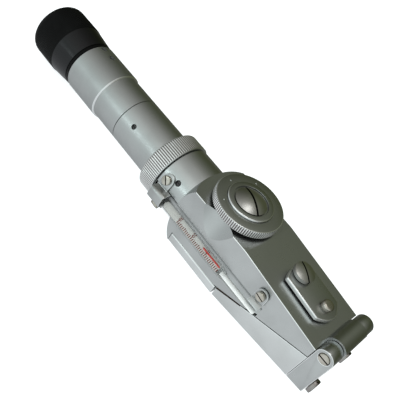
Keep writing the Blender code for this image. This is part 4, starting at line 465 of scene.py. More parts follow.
@dataclass(frozen=True)
class Veil(Finish):
    """Thin glass that is seen through as a pale veil, denser where it is seen edge on."""

    name: str
    slot: str
    tint: Colour
    face: float
    rim: float
    rim_blend: float = 0.35
    shine: float = 0.3
    roughness: float = 0.08
    smear_scale: float = 160.0
    smear_share: float = 0.02
    smear_roughness: float = 0.1

    def graph_of(self, graph: Graph) -> Signal:
        """Glossy coat whose opacity rises towards its outline."""
        pattern = Pattern(graph)
        smear = pattern.smear(self.smear_scale)
        edge = graph.add("ShaderNodeLayerWeight", {"Blend": self.rim_blend})["Facing"]
        density = self.face + (self.rim - self.face) * edge ** 2.0 + self.smear_share * smear
        return graph.add("ShaderNodeBsdfPrincipled",
                         {"Base Color": (*self.tint, 1.0),
                          "Roughness": self.roughness + self.smear_roughness * smear,
                          "Specular IOR Level": self.shine, "Alpha": density.least(1.0)})[0]


SATIN_LIGHT = (0.53, 0.545, 0.54)
SATIN_DULL = (0.43, 0.44, 0.435)
PLATE_LIGHT = (0.72, 0.735, 0.73)
PLATE_DULL = (0.62, 0.63, 0.62)
NICKEL_LIGHT = (0.60, 0.57, 0.51)
NICKEL_DULL = (0.42, 0.39, 0.33)
BLACK = (0.0035, 0.0037, 0.0037)
BLACK_WORN = (0.008, 0.0085, 0.0085)

# Painted shade in the grooves between ridges
GROOVE_SHADE = (0.2, 0.18, 0.175)
RIM_LIGHT = (0.86, 0.86, 0.85)

CAST_SATIN = Metal("cast_satin", "satin_metal", SATIN_LIGHT, SATIN_DULL, 0.31)
LID_SATIN = Metal("lid_satin", "satin_metal", PLATE_LIGHT, PLATE_DULL, 0.38)
TURNED_SATIN = Metal("turned_satin", "satin_metal", SATIN_LIGHT, SATIN_DULL, 0.38,
                     grain=Grain.TURNED, marks=5200.0)
SHEET_SATIN = Metal("sheet_satin", "satin_metal", PLATE_LIGHT, PLATE_DULL, 0.33,
                    grain=Grain.BRUSHED, marks=4800.0)
MILLED_RING = Metal("milled_ring", "satin_metal", PLATE_LIGHT, PLATE_DULL, 0.34,
                    grain=Grain.TURNED, marks=5200.0, grooved=True)
MILLED_KNOB = Metal("milled_knob", "satin_metal", (0.49, 0.50, 0.49), (0.40, 0.41, 0.40), 0.3,
                    grain=Grain.FACED, marks=5200.0, grooved=True)
POLISHED = Metal("polished_edge", "satin_metal", (0.93, 0.94, 0.94), (0.84, 0.85, 0.85), 0.3,
                 marks=6000.0)
NICKEL = Metal("nickel_screws", "nickel", NICKEL_LIGHT, NICKEL_DULL, 0.24, marks=6000.0,
               stain_scale=240.0)
DOME_NICKEL = Metal("nickel_dome", "nickel", (0.56, 0.56, 0.54), (0.47, 0.465, 0.44), 0.31,
                    marks=5200.0)
# Darker nickel tone, used for the hinge's end screws
DARKER_NICKEL = Metal("darker_nickel", "nickel", (0.37, 0.345, 0.33), (0.24, 0.22, 0.21), 0.27,
                    marks=5200.0)
STEEL = Metal("bright_steel", "bright_steel", (0.74, 0.74, 0.73), (0.58, 0.58, 0.56), 0.18)
BRASS = Metal("brass", "brass", (0.70, 0.52, 0.22), (0.50, 0.34, 0.14), 0.30,
              grain=Grain.TURNED, marks=4500.0)
# Painted shade lining the screw slots and the lid's seam relief
SLOT_SHADE = Metal("painted_slot_shade", "nickel", (0.20, 0.165, 0.14), (0.13, 0.10, 0.085), 0.45)
# Painted shade lining the port hole, the undercuts and the slots of the domed screws
HOLE_SHADE = Metal("painted_hole_shade", "blackened_metal", (0.035, 0.033, 0.031),
             (0.016, 0.015, 0.014), 0.5)
DARK = Metal("blackened_metal", "blackened_metal", (0.055, 0.055, 0.052),
             (0.03, 0.03, 0.028), 0.42)
BLACK_GRIP = Moulded("black_grip", "black_plastic", BLACK, BLACK_WORN, 0.4, shine=0.08)
BLACK_GLOSS = Moulded("black_gloss", "black_plastic", (0.004, 0.004, 0.005),
                      (0.006, 0.006, 0.007), 0.17, shine=0.36,
                      grain=Grain.TURNED, marks=5200.0)
GLASS = Clear("clear_glass", "glass", (0.96, 0.98, 0.97))
ROUGH_GLASS = Clear("ground_glass", "glass", (0.90, 0.93, 0.92), haze=0.35)
TUBE_GLASS = Veil("thin_tube_glass", "glass", (0.30, 0.31, 0.30), 0.04, 0.55)
MILK = Moulded("milk_strip", "milk_glass", (0.68, 0.68, 0.655), (0.61, 0.60, 0.57), 0.45,
               shine=0.2, depth=0.0)
WHITE = Moulded("white_stem", "white_glass", (0.88, 0.89, 0.88), (0.78, 0.79, 0.77), 0.16,
                coat=0.5)
RED = Moulded("red_spirit", "red_spirit", (0.62, 0.03, 0.02), (0.45, 0.02, 0.02), 0.18,
              coat=0.6)
MARKS = Moulded("scale_marks", "milk_glass", (0.19, 0.04, 0.03), (0.15, 0.035, 0.028), 0.5,
                shine=0.1, depth=0.0)


# Shapes

def bench(distance: float, side: float, height: float) -> Point:
    """Bench point in millimetres."""
    return Vector((distance, side, height))


def round_point(distance: float, radius: float, angle: float) -> Point:
    """Bench point at a radius and an angle from the far side about the optical axis."""
    return bench(distance, radius * math.cos(angle), radius * math.sin(angle))


def outward(angle: float) -> Vector:
    """Unit direction away from the optical axis at an angle."""
    return Vector((0.0, math.cos(angle), math.sin(angle)))


def arc(centre: Pair, radius: float, first: float, last: float, steps: int) -> list[Pair]:
    """Points of an arc.

    Args:
        centre: Its centre.
        radius: Its radius.
        first: Angle of the first point, in degrees.
        last: Angle of the last point, in degrees.
        steps: Chords.

    Returns:
        The points, both ends included.
    """
    points = []
    for k in range(steps + 1):
        angle = math.radians(first + (last - first) * k / steps)
        points.append((centre[0] + radius * math.cos(angle),
                       centre[1] + radius * math.sin(angle)))
    return points


def rectangle(low: float, high: float, floor: float, top: float) -> list[Pair]:
    """Corners between two runs and two heights."""
    return [(low, floor), (high, floor), (high, top), (low, top)]


def placed(name: str, data: bpy.types.ID) -> bpy.types.Object:
    """Object that shows some data in the scene."""
    obj = bpy.data.objects.new(name, data)
    bpy.context.scene.collection.objects.link(obj)
    return obj


def evaluated(obj: bpy.types.Object) -> bpy.types.Mesh:
    """Mesh of an object after its modifiers."""
    depsgraph = bpy.context.evaluated_depsgraph_get()
    return bpy.data.meshes.new_from_object(obj.evaluated_get(depsgraph))


def seated(origin: Point, *axes: Vector) -> Matrix:
    """Matrix that moves the three axes to an origin and turns them to others."""
    return Matrix.Translation(origin) @ Matrix(axes).transposed().to_4x4()


class Shape:
    """A closed mesh that is being worked on the bench."""

    def __init__(self, mesh: bmesh.types.BMesh) -> None:
        """Turns a bmesh into an object with its faces outwards."""
        bmesh.ops.remove_doubles(mesh, verts=mesh.verts, dist=WELD)
        bmesh.ops.recalc_face_normals(mesh, faces=mesh.faces)
        data = bpy.data.meshes.new("shape")
        mesh.to_mesh(data)
        mesh.free()
        for _ in Layer:
            data.materials.append(None)
        self.object = placed("shape", data)

    @classmethod
    def turned(cls, profile: Sequence[Pair], sides: int = ROUND,
               start: Point = Vector(), axis: Vector = ALONG) -> "Shape":
        """Turned solid.

        Args:
            profile: Runs along the axis with their radii; it is solid where its
                ends have no radius, and a loop round a bore otherwise.
            sides: Facets round the axis.
            start: Where the run is zero.
            axis: Direction of the run.

        Returns:
            The solid.
        """
        mesh = bmesh.new()
        solid = profile[0][1] == 0.0
        rings = []
        for run, radius in profile:
            count = sides if radius > 0.0 else 1
            rings.append([mesh.verts.new((radius * math.cos(TURN * k / sides),
                                          radius * math.sin(TURN * k / sides), run))
                          for k in range(count)])
        pairs = list(zip(rings, rings[1:]))
        if not solid:
            pairs.append((rings[-1], rings[0]))
        for low, high in pairs:
            flat = low[0].co.z == high[0].co.z
            if flat and 1 in (len(low), len(high)):
                mesh.faces.new(max(low, high, key=len))
                continue
            for k in range(sides):
                corners = [low[k % len(low)], low[(k + 1) % sides % len(low)],
                           high[(k + 1) % sides % len(high)], high[k % len(high)]]
                mesh.faces.new(list(dict.fromkeys(corners)))
        loose = [v for v in mesh.verts if not v.link_faces]
        bmesh.ops.delete(mesh, geom=loose, context="VERTS")
        turn = UPWARD.rotation_difference(axis.normalized()).to_matrix().to_4x4()
        mesh.transform(Matrix.Translation(start) @ turn)
        return cls(mesh)

    @classmethod
    def rod(cls, start: Point, axis: Vector, length: float, radius: float,
            sides: int = SMALL_ROUND) -> "Shape":
        """Plain round bar from a start along an axis."""
        profile = [(0.0, 0.0), (0.0, radius), (length, radius), (length, 0.0)]
        return cls.turned(profile, sides, start, axis)

    @classmethod
    def extruded(cls, corners: Iterable[Point], way: Vector) -> "Shape":
        """Solid between a flat outline and its copy moved by a way."""
        mesh = bmesh.new()
        face = mesh.faces.new([mesh.verts.new(c) for c in corners])
        made = bmesh.ops.extrude_face_region(mesh, geom=[face])
        moved = [v for v in made["geom"] if isinstance(v, bmesh.types.BMVert)]
        bmesh.ops.translate(mesh, verts=moved, vec=way)
        return cls(mesh)

    @classmethod
    def slab(cls, outline: Iterable[Pair], half_width: float) -> "Shape":
        """Solid across the middle plane from a side view of (distance, height)."""
        corners = [bench(x, -half_width, z) for x, z in outline]
        return cls.extruded(corners, ASIDE * 2.0 * half_width)

    @classmethod
    def strip(cls, stations: Sequence[tuple[Point, Vector, Vector, float, float]],
              thickness: float) -> "Shape":
        """Bent sheet.

        Args:
            stations: Point, outward normal, side direction, low run and high run.
            thickness: The sheet's thickness.

        Returns:
            The solid.
        """
        mesh = bmesh.new()
        rows = []
        for point, normal, side, low, high in stations:
            rows.append([mesh.verts.new(point + side * run + normal * rise)
                         for run, rise in rectangle(low, high, 0.0, thickness)])
        for first, second in zip(rows, rows[1:]):
            for k in range(len(first)):
                after = (k + 1) % len(first)
                mesh.faces.new((first[k], first[after], second[after], second[k]))
        mesh.faces.new(rows[0])
        mesh.faces.new(rows[-1])
        return cls(mesh)

    def modified(self, kind: str, **settings: Any) -> "Shape":
        """Applies a modifier at once.

        Args:
            kind: The modifier's type.
            **settings: Its properties.

        Returns:
            This shape.
        """
        modifier = self.object.modifiers.new("work", kind)
        for key, value in settings.items():
            setattr(modifier, key, value)
        self._take_evaluated()
        return self

    def _take_evaluated(self) -> None:
        """Replaces the mesh with its evaluated self and clears the modifiers."""
        mesh = evaluated(self.object)
        self.object.modifiers.clear()
        self.object.data = mesh

    def _boolean(self, tool: "Shape", operation: str) -> "Shape":
        """Joins or cuts with a tool, which goes."""
        self.modified("BOOLEAN", operation=operation, object=tool.object)
        bpy.data.objects.remove(tool.object)
        return self

    def cut(self, *tools: "Shape") -> "Shape":
        """Cuts tools away."""
        for tool in tools:
            self._boolean(tool, "DIFFERENCE")
        return self

    def marked(self, layer: Layer, where: Callable[[Vector, Vector], bool]) -> "Shape":
        """Puts the faces chosen by centre and normal on a layer."""
        for polygon in self.object.data.polygons:
            if where(polygon.center, polygon.normal):
                polygon.material_index = layer.value
        return self

    def lined(self) -> "Shape":
        """Marks every face as a lining, for a cutter of slots and holes."""
        return self.marked(Layer.LINING, lambda centre, normal: True)

    def edged(self) -> "Shape":
        """Marks every face as an edge, for a cutter of worn edges."""
        return self.marked(Layer.EDGE, lambda centre, normal: True)

    def join(self, *tools: "Shape") -> "Shape":
        """Joins tools that overlap it."""
        for tool in tools:
            self._boolean(tool, "UNION")
        return self

    def within(self, tool: "Shape") -> "Shape":
        """Keeps what lies inside a tool."""
        return self._boolean(tool, "INTERSECT")

    def eased(self, width: float, segments: int = 2, angle: float = 35.0) -> "Shape":
        """Rounds the edges sharper than an angle in degrees, and marks them as edges."""
        return self.modified("BEVEL", width=width, segments=segments, limit_method="ANGLE",
                             angle_limit=math.radians(angle), miter_outer="MITER_ARC",
                             use_clamp_overlap=False, material=Layer.EDGE.value)

    def grown_by(self, tree: bpy.types.NodeTree, **inputs: Any) -> "Shape":
        """Runs the shape through a geometry tree.

        Args:
            tree: The tree.
            **inputs: Values of its named inputs, with _ for a space.

        Returns:
            This shape.
        """
        modifier = self.object.modifiers.new("rule", "NODES")
        modifier.node_group = tree
        sockets = {item.name: item.identifier for item in tree.interface.items_tree
                   if item.item_type == "SOCKET" and item.in_out == "INPUT"}
        for key, value in inputs.items():
            modifier[sockets[key.replace("_", " ")]] = value
        self._take_evaluated()
        for polygon in self.object.data.polygons:
            polygon.material_index = Layer.FACE.value
        return self

    def moved(self, matrix: Matrix) -> "Shape":
        """Moves the mesh by a matrix."""
        self.object.data.transform(matrix)
        return self

    def dress(self, name: str, body: Body, finish: "Finish", *nodes: str, angle: float = 32.0,
              edge: "Finish | None" = None, lining: "Finish | None" = None) -> bpy.types.Object:
        """Moves the mesh to the model's place, and gives it its finish and its body.

        Args:
            name: Name of the piece.
            body: Body that it rides on.
            finish: Its finish.
            *nodes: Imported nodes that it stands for.
            angle: Edges sharper than this stay crisp, in degrees.
            edge: Finish of its worn edges, or None for its own.
            lining: Finish inside its slots and holes, or None for its own.

        Returns:
            The piece.
        """
        obj = self.object
        obj.name = name
        obj.data.name = name
        obj.data.transform(TO_MODEL)
        layers = [polygon.material_index for polygon in obj.data.polygons]
        obj.data.materials.clear()
        for chosen in (finish, edge or finish, lining or finish)[:max(layers) + 1]:
            obj.data.materials.append(chosen.material())
        obj.data.polygons.foreach_set("material_index", layers)
        obj.data.shade_smooth()
        obj.data.set_sharp_from_angle(angle=math.radians(angle))
        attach(obj, body.value)
        if nodes:
            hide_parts(*nodes)
        LOG.info("%s: %d faces on %s", name, len(obj.data.polygons), body.value)
        return obj


# Geometry trees

def new_tree(name: str, inputs: dict[str, str]) -> tuple[Graph, Made]:
    """Starts a geometry tree with named inputs.

    Args:
        name: The tree's name.
        inputs: Socket kind of each input after the geometry, by its name.

    Returns:
        The graph and its group input.
    """
    tree = bpy.data.node_groups.new(name, "GeometryNodeTree")
    graph = Graph(tree)
    tree.interface.new_socket("Geometry", in_out="INPUT", socket_type="NodeSocketGeometry")
    for title, kind in inputs.items():
        tree.interface.new_socket(title, in_out="INPUT", socket_type=f"NodeSocket{kind}")
    tree.interface.new_socket("Geometry", in_out="OUTPUT", socket_type="NodeSocketGeometry")
    return graph, graph.add("NodeGroupInput")


def close_tree(graph: Graph, geometry: Signal, finish: Signal) -> bpy.types.NodeTree:
    """Ends a geometry tree in real faces with a material.

    Args:
        graph: The tree's graph.
        geometry: The geometry.
        finish: The material input.

    Returns:
        The tree.
    """
    real = graph.add("GeometryNodeRealizeInstances", {0: geometry})[0]
    dressed = graph.add("GeometryNodeSetMaterial",
                        {"Geometry": real, "Material": finish})[0]
    graph.add("NodeGroupOutput", {0: dressed})
    return graph.tree


def ridge_tree() -> bpy.types.NodeTree:
    """Tree that raises straight ridges on a turned shape about the bench's run axis."""
    graph, given = new_tree("straight_ridges", {
        "Count": "Float", "Depth": "Float", "Low": "Float", "High": "Float", "Fade": "Float",
        "Least Radius": "Float", "Land": "Float", "Material": "Material"})
    place = graph.add("GeometryNodeInputPosition")[0]
    axes = graph.add("ShaderNodeSeparateXYZ", {0: place})
    run, side, height = axes[0], axes[1], axes[2]
    radius = (side * side + height * height) ** 0.5
    angle = height.angle_over(side)
    wave = (angle * given["Count"] / math.pi + EVEN_TURNS).bounce(1.0)
    groove = wave.ramp(given["Land"], 1.0)
    inside = (run - given["Low"]) / given["Fade"]
    outside = (given["High"] - run) / given["Fade"]
    share = inside.least(outside).ramp(0.0, 1.0) * radius.above(given["Least Radius"])
    groove = groove * share
    drop = 0.0 - groove * given["Depth"]
    way = graph.add("ShaderNodeCombineXYZ", {1: side / radius, 2: height / radius})[0]
    shift = graph.add("ShaderNodeVectorMath", {0: way, "Scale": drop}, operation="SCALE")[0]
    marked = given["Geometry"]
    for name, value in ((GROOVE, groove), (MILLED, share)):
        marked = graph.add("GeometryNodeStoreNamedAttribute",
                           {"Geometry": marked, "Name": name, "Value": value},
                           data_type="FLOAT", domain="POINT")[0]
    ridged = graph.add("GeometryNodeSetPosition", {"Geometry": marked, "Offset": shift})[0]
    return close_tree(graph, ridged, given["Material"])


def copies_tree() -> bpy.types.NodeTree:
    """Tree that sets a copy of a tool at each point of the given mesh."""
    graph, given = new_tree("copies_on_points", {"Tool": "Object", "Material": "Material"})
    tool = graph.add("GeometryNodeObjectInfo", {"Object": given["Tool"]})["Geometry"]
    copies = graph.add("GeometryNodeInstanceOnPoints",
                       {"Points": given["Geometry"], "Instance": tool})[0]
    return close_tree(graph, copies, given["Material"])


def ladder_tree() -> bpy.types.NodeTree:
    """Tree that makes the strokes of a scale: every fifth is longer, every tenth longest."""
    graph, given = new_tree("scale_strokes", {
        "Count": "Int", "Pitch": "Float", "Stroke": "Float", "Short": "Float", "Rise": "Float",
        "Material": "Material"})
    step = graph.add("ShaderNodeCombineXYZ", {0: given["Pitch"]})[0]
    line = graph.add("GeometryNodeMeshLine", {"Count": given["Count"], "Offset": step})[0]
    size = graph.add("ShaderNodeCombineXYZ", {0: given["Stroke"], 1: given["Short"],
                                              2: given["Rise"]})[0]
    stroke = graph.add("GeometryNodeMeshCube", {"Size": size})[0]
    index = graph.add("GeometryNodeInputIndex")[0]
    fifth = 1.0 - index.remainder(5.0).least(1.0)
    tenth = 1.0 - index.remainder(10.0).least(1.0)
    length = 1.0 + fifth * FIFTH_SHARE + tenth * TENTH_SHARE
    scale = graph.add("ShaderNodeCombineXYZ", {0: 1.0, 1: length, 2: 1.0})[0]
    shift = graph.add("ShaderNodeCombineXYZ",
                      {1: (length - 1.0) * given["Short"] * 0.5})[0]
    copies = graph.add("GeometryNodeInstanceOnPoints",
                       {"Points": line, "Instance": stroke, "Scale": scale})[0]
    moved = graph.add("GeometryNodeTranslateInstances",
                      {"Instances": copies, "Translation": shift})[0]
    return close_tree(graph, moved, given["Material"])


@dataclass(frozen=True)
class Trees:
    """The geometry trees that the assemblies share."""

    ridges: bpy.types.NodeTree = field(default_factory=ridge_tree)
    copies: bpy.types.NodeTree = field(default_factory=copies_tree)
    ladder: bpy.types.NodeTree = field(default_factory=ladder_tree)


# Screws

@dataclass(frozen=True)
class Screw:
    """Slotted screw: the start is under its head, and the axis points out of the head.

    The rounding is falls and drops of the head's edge as shares of its ease.
    """

    head: float
    height: float
    shank: float
    bite: float
    dome: float = 0.0
    slot: float = 0.5
    ease: float = 0.12
    eases_in_height: float = 3.0
    rounding_shares: Outline = ((2.0, 0.0), (1.0, 0.3), (0.3, 1.0), (0.0, 2.0))
    slot_depth_share: float = 0.6
    small_head: float = 4.0

    def shape(self, start: Point, axis: Vector, slot_way: Vector) -> Shape:
        """Turned screw with its slot.

        Args:
            start: Point under the head.
            axis: Direction out of the head.
            slot_way: Direction of the slot.

        Returns:
            The screw.
        """
        ease = min(self.ease, self.height / self.eases_in_height)
        profile = [(-self.bite, 0.0), (-self.bite, self.shank), (0.0, self.shank),
                   (0.0, self.head - ease), (ease, self.head)]
        if self.dome > 0.0:
            profile += self._crown(self.height)
        else:
            profile += [(self.height - fall * ease, self.head - drop * ease)
                        for fall, drop in self.rounding_shares]
            profile.append((self.height, 0.0))
        sides = SMALL_ROUND if self.head < self.small_head else ROUND
        screw = Shape.turned(profile, sides, start, axis)
        crown = start + axis * (self.height + self.dome)
        depth = self.slot_depth_share * self.height + self.dome
        cutter = slot_cutter(crown, axis, slot_way, self.head, self.slot, depth)
        # The slot goes on the lining layer, which every screw fills with painted shade
        return screw.cut(cutter.lined())

    def _crown(self, base: float, steps: int = 12) -> list[Pair]:
        """Profile of the dome over a base."""
        radius = (self.head ** 2 + self.dome ** 2) / (2.0 * self.dome)
        points = [(base, self.head)]
        for k in range(1, steps):
            reach = self.head * (1.0 - k / steps)
            rise = math.sqrt(radius ** 2 - reach ** 2) - (radius - self.dome)
            points.append((base + rise, reach))
        return points + [(base + self.dome, 0.0)]


def drill(distance: float, outside: float, angle: float, depth: float,
          radius: float) -> Shape:
    """Round cutter towards the optical axis, to a depth under an outside radius."""
    mouth = round_point(distance, outside + OVERRUN, angle)
    return Shape.rod(mouth, -outward(angle), OVERRUN + depth, radius)


def slot_cutter(crown: Point, axis: Vector, way: Vector, radius: float, width: float,
                depth: float) -> Shape:
    """Cutter of a driver slot.

    Args:
        crown: Top of the head.
        axis: Direction out of the head.
        way: Direction of the slot.
        radius: The head's radius.
        width: The slot's width.
        depth: Its depth under the crown.

    Returns:
        The cutter.
    """
    side = axis.cross(way).normalized() * width / 2.0
    reach = way.normalized() * (radius + OVERRUN)
    floor = crown - axis * depth
    corners = [floor + reach + side, floor - reach + side, floor - reach - side,
               floor + reach - side]
    return Shape.extruded(corners, axis * (depth + OVERRUN))


# The body

@dataclass(frozen=True)
class Seam:
    """Slanting parting plane between the body and the lid, and the wedge's other faces."""

    start: Pair = (50.3, -10.7)
    end: Pair = (95.3, 5.3)
    gap: float = 0.5
    half_width: float = HALF_WIDTH
    top: float = 15.7
    head_break: float = 51.0
    head_end: float = 94.95
    head_drop: float = 4.84
    lid_lift: float = 0.2
    lid_rise: float = 4.9
    window: float = 80.0
    prism_half: float = 9.8
    mask_half: float = 12.3
    mask_depth: float = 1.35

    @property
    def tilt(self) -> float:
        """Angle of the seam to the optical axis."""
        return math.atan2(self.end[1] - self.start[1], self.end[0] - self.start[0])

    def point(self, run: float, rise: float, side: float = 0.0) -> Point:
        """Bench point at a run along the seam and a rise square to it."""
        return bench(self.start[0] + run * math.cos(self.tilt) - rise * math.sin(self.tilt),
                     side,
                     self.start[1] + run * math.sin(self.tilt) + rise * math.cos(self.tilt))

    def height(self, distance: float, rise: float) -> float:
        """Height beside the seam at a distance, by a rise square to it."""
        level = self.start[1] + (distance - self.start[0]) * math.tan(self.tilt)
        return level + rise / math.cos(self.tilt)

    def block(self, outline: Iterable[Pair], half_width: float) -> Shape:
        """Solid across the middle plane from (run, rise) points on the seam."""
        corners = [self.point(run, rise, -half_width) for run, rise in outline]
        return Shape.extruded(corners, ASIDE * 2.0 * half_width)

    @property
    def top_tilt(self) -> float:
        """Angle by which the head's top face falls."""
        return math.atan2(self.head_drop, self.head_end - self.head_break)

    @property
    def top_normal(self) -> Vector:
        """Normal of the head's top face."""
        return Vector((math.sin(self.top_tilt), 0.0, math.cos(self.top_tilt)))

    @property
    def top_slope(self) -> Vector:
        """Direction down the head's top face."""
        return Vector((math.cos(self.top_tilt), 0.0, -math.sin(self.top_tilt)))

    def on_top(self, distance: float, side: float = 0.0, rise: float = 0.0) -> Point:
        """Bench point over the head's top face."""
        fall = (distance - self.head_break) * math.tan(self.top_tilt)
        return bench(distance, side, self.top - fall) + self.top_normal * rise

    def lid_floor(self, distance: float) -> float:
        """Height of the lid's underside."""
        share = (distance - self.head_break) / (self.head_end - self.head_break)
        return self.lid_lift - AXIS_HEIGHT + share * self.lid_rise


@dataclass(frozen=True)
class Hinge:
    """Knuckle, ears, pin and bracket at the hinge."""

    distance: float = 99.3
    height: float = 11.2
    ear: float = 4.05
    knuckle: float = 5.0
    knuckle_half: float = 8.0
    neck_drop: float = 4.9
    pocket_drop: float = 5.5
    pin: float = 1.5
    pin_head: float = 2.38
    pin_head_depth: float = 1.0
    pin_proud: float = 0.4
    pin_slot: float = 0.65
    pin_ease: float = 0.15
    screw_spread: float = 12.0
    screw_height: float = -6.0
    edge: float = 0.3
    screw: Screw = Screw(3.3, 1.9, 1.5, 14.4, slot=0.8, ease=0.2)

    def across(self, half: float, radius: float, sides: int = ROUND) -> Shape:
        """Round bar on the hinge's axis."""
        return Shape.rod(bench(self.distance, -half, self.height), ASIDE, 2.0 * half,
                         radius, sides)

    def knuckle_shape(self, seam: Seam) -> Shape:
        """Middle knuckle with its neck to the body's end face."""
        foot = self.height - self.neck_drop
        neck = Shape.slab([(seam.head_end - OVERRUN, foot), (self.distance, foot),
                           (self.distance, self.height),
                           (seam.head_end - OVERRUN, seam.top - seam.head_drop)],
                          self.knuckle_half)
        return neck.join(self.across(self.knuckle_half, self.knuckle))

    def dress(self, seam: Seam) -> None:
        """Makes the bracket, its pin and its screws."""
        low, high = self.distance - self.ear, self.distance + self.ear
        outline = [(low, seam.lid_floor(low)), (high, seam.lid_floor(high))]
        outline += arc((self.distance, self.height), self.ear, 0.0, 180.0, 32)
        bracket = Shape.slab(outline, seam.half_width)
        inner = self.knuckle_half + GAP
        floor = self.height - self.pocket_drop
        top = self.height + self.knuckle + OVERRUN
        bracket.cut(Shape.slab(rectangle(low - OVERRUN, self.distance, floor, top), inner),
                    self.across(inner, self.knuckle + GAP),
                    self.across(seam.half_width + OVERRUN, self.pin + SLACK, SMALL_ROUND))
        mouth = bench(self.distance, -seam.half_width - OVERRUN, self.height)
        bracket.cut(Shape.rod(mouth, ASIDE, self.pin_head_depth + GAP + OVERRUN,
                              self.pin_head + GAP / 2.0))
        bracket.eased(self.edge, angle=40.0)
        bracket.dress("hinge_bracket_cast", Body.LID, CAST_SATIN, "hinge_bracket",
                      edge=POLISHED)
        head = self.pin_head_depth + self.pin_proud
        start = bench(self.distance, self.pin_head_depth - seam.half_width, self.height)
        pin = Screw(self.pin_head, head, self.pin,
                    2.0 * seam.half_width - self.pin_head_depth,
                    slot=self.pin_slot, ease=self.pin_ease)
        pin.shape(start, -ASIDE, ALONG).dress("hinge_pin_turned", Body.LID, NICKEL,
                                              "hinge_pin", lining=SLOT_SHADE)
        for name, side in (("near", -1.0), ("far", 1.0)):
            place = bench(high + GAP, side * self.screw_spread, self.screw_height)
            self.screw.shape(place, ALONG, UPWARD).dress(
                f"end_screw_{name}_turned", Body.LID, DARKER_NICKEL, f"end_screw_{name}",
                lining=SLOT_SHADE)


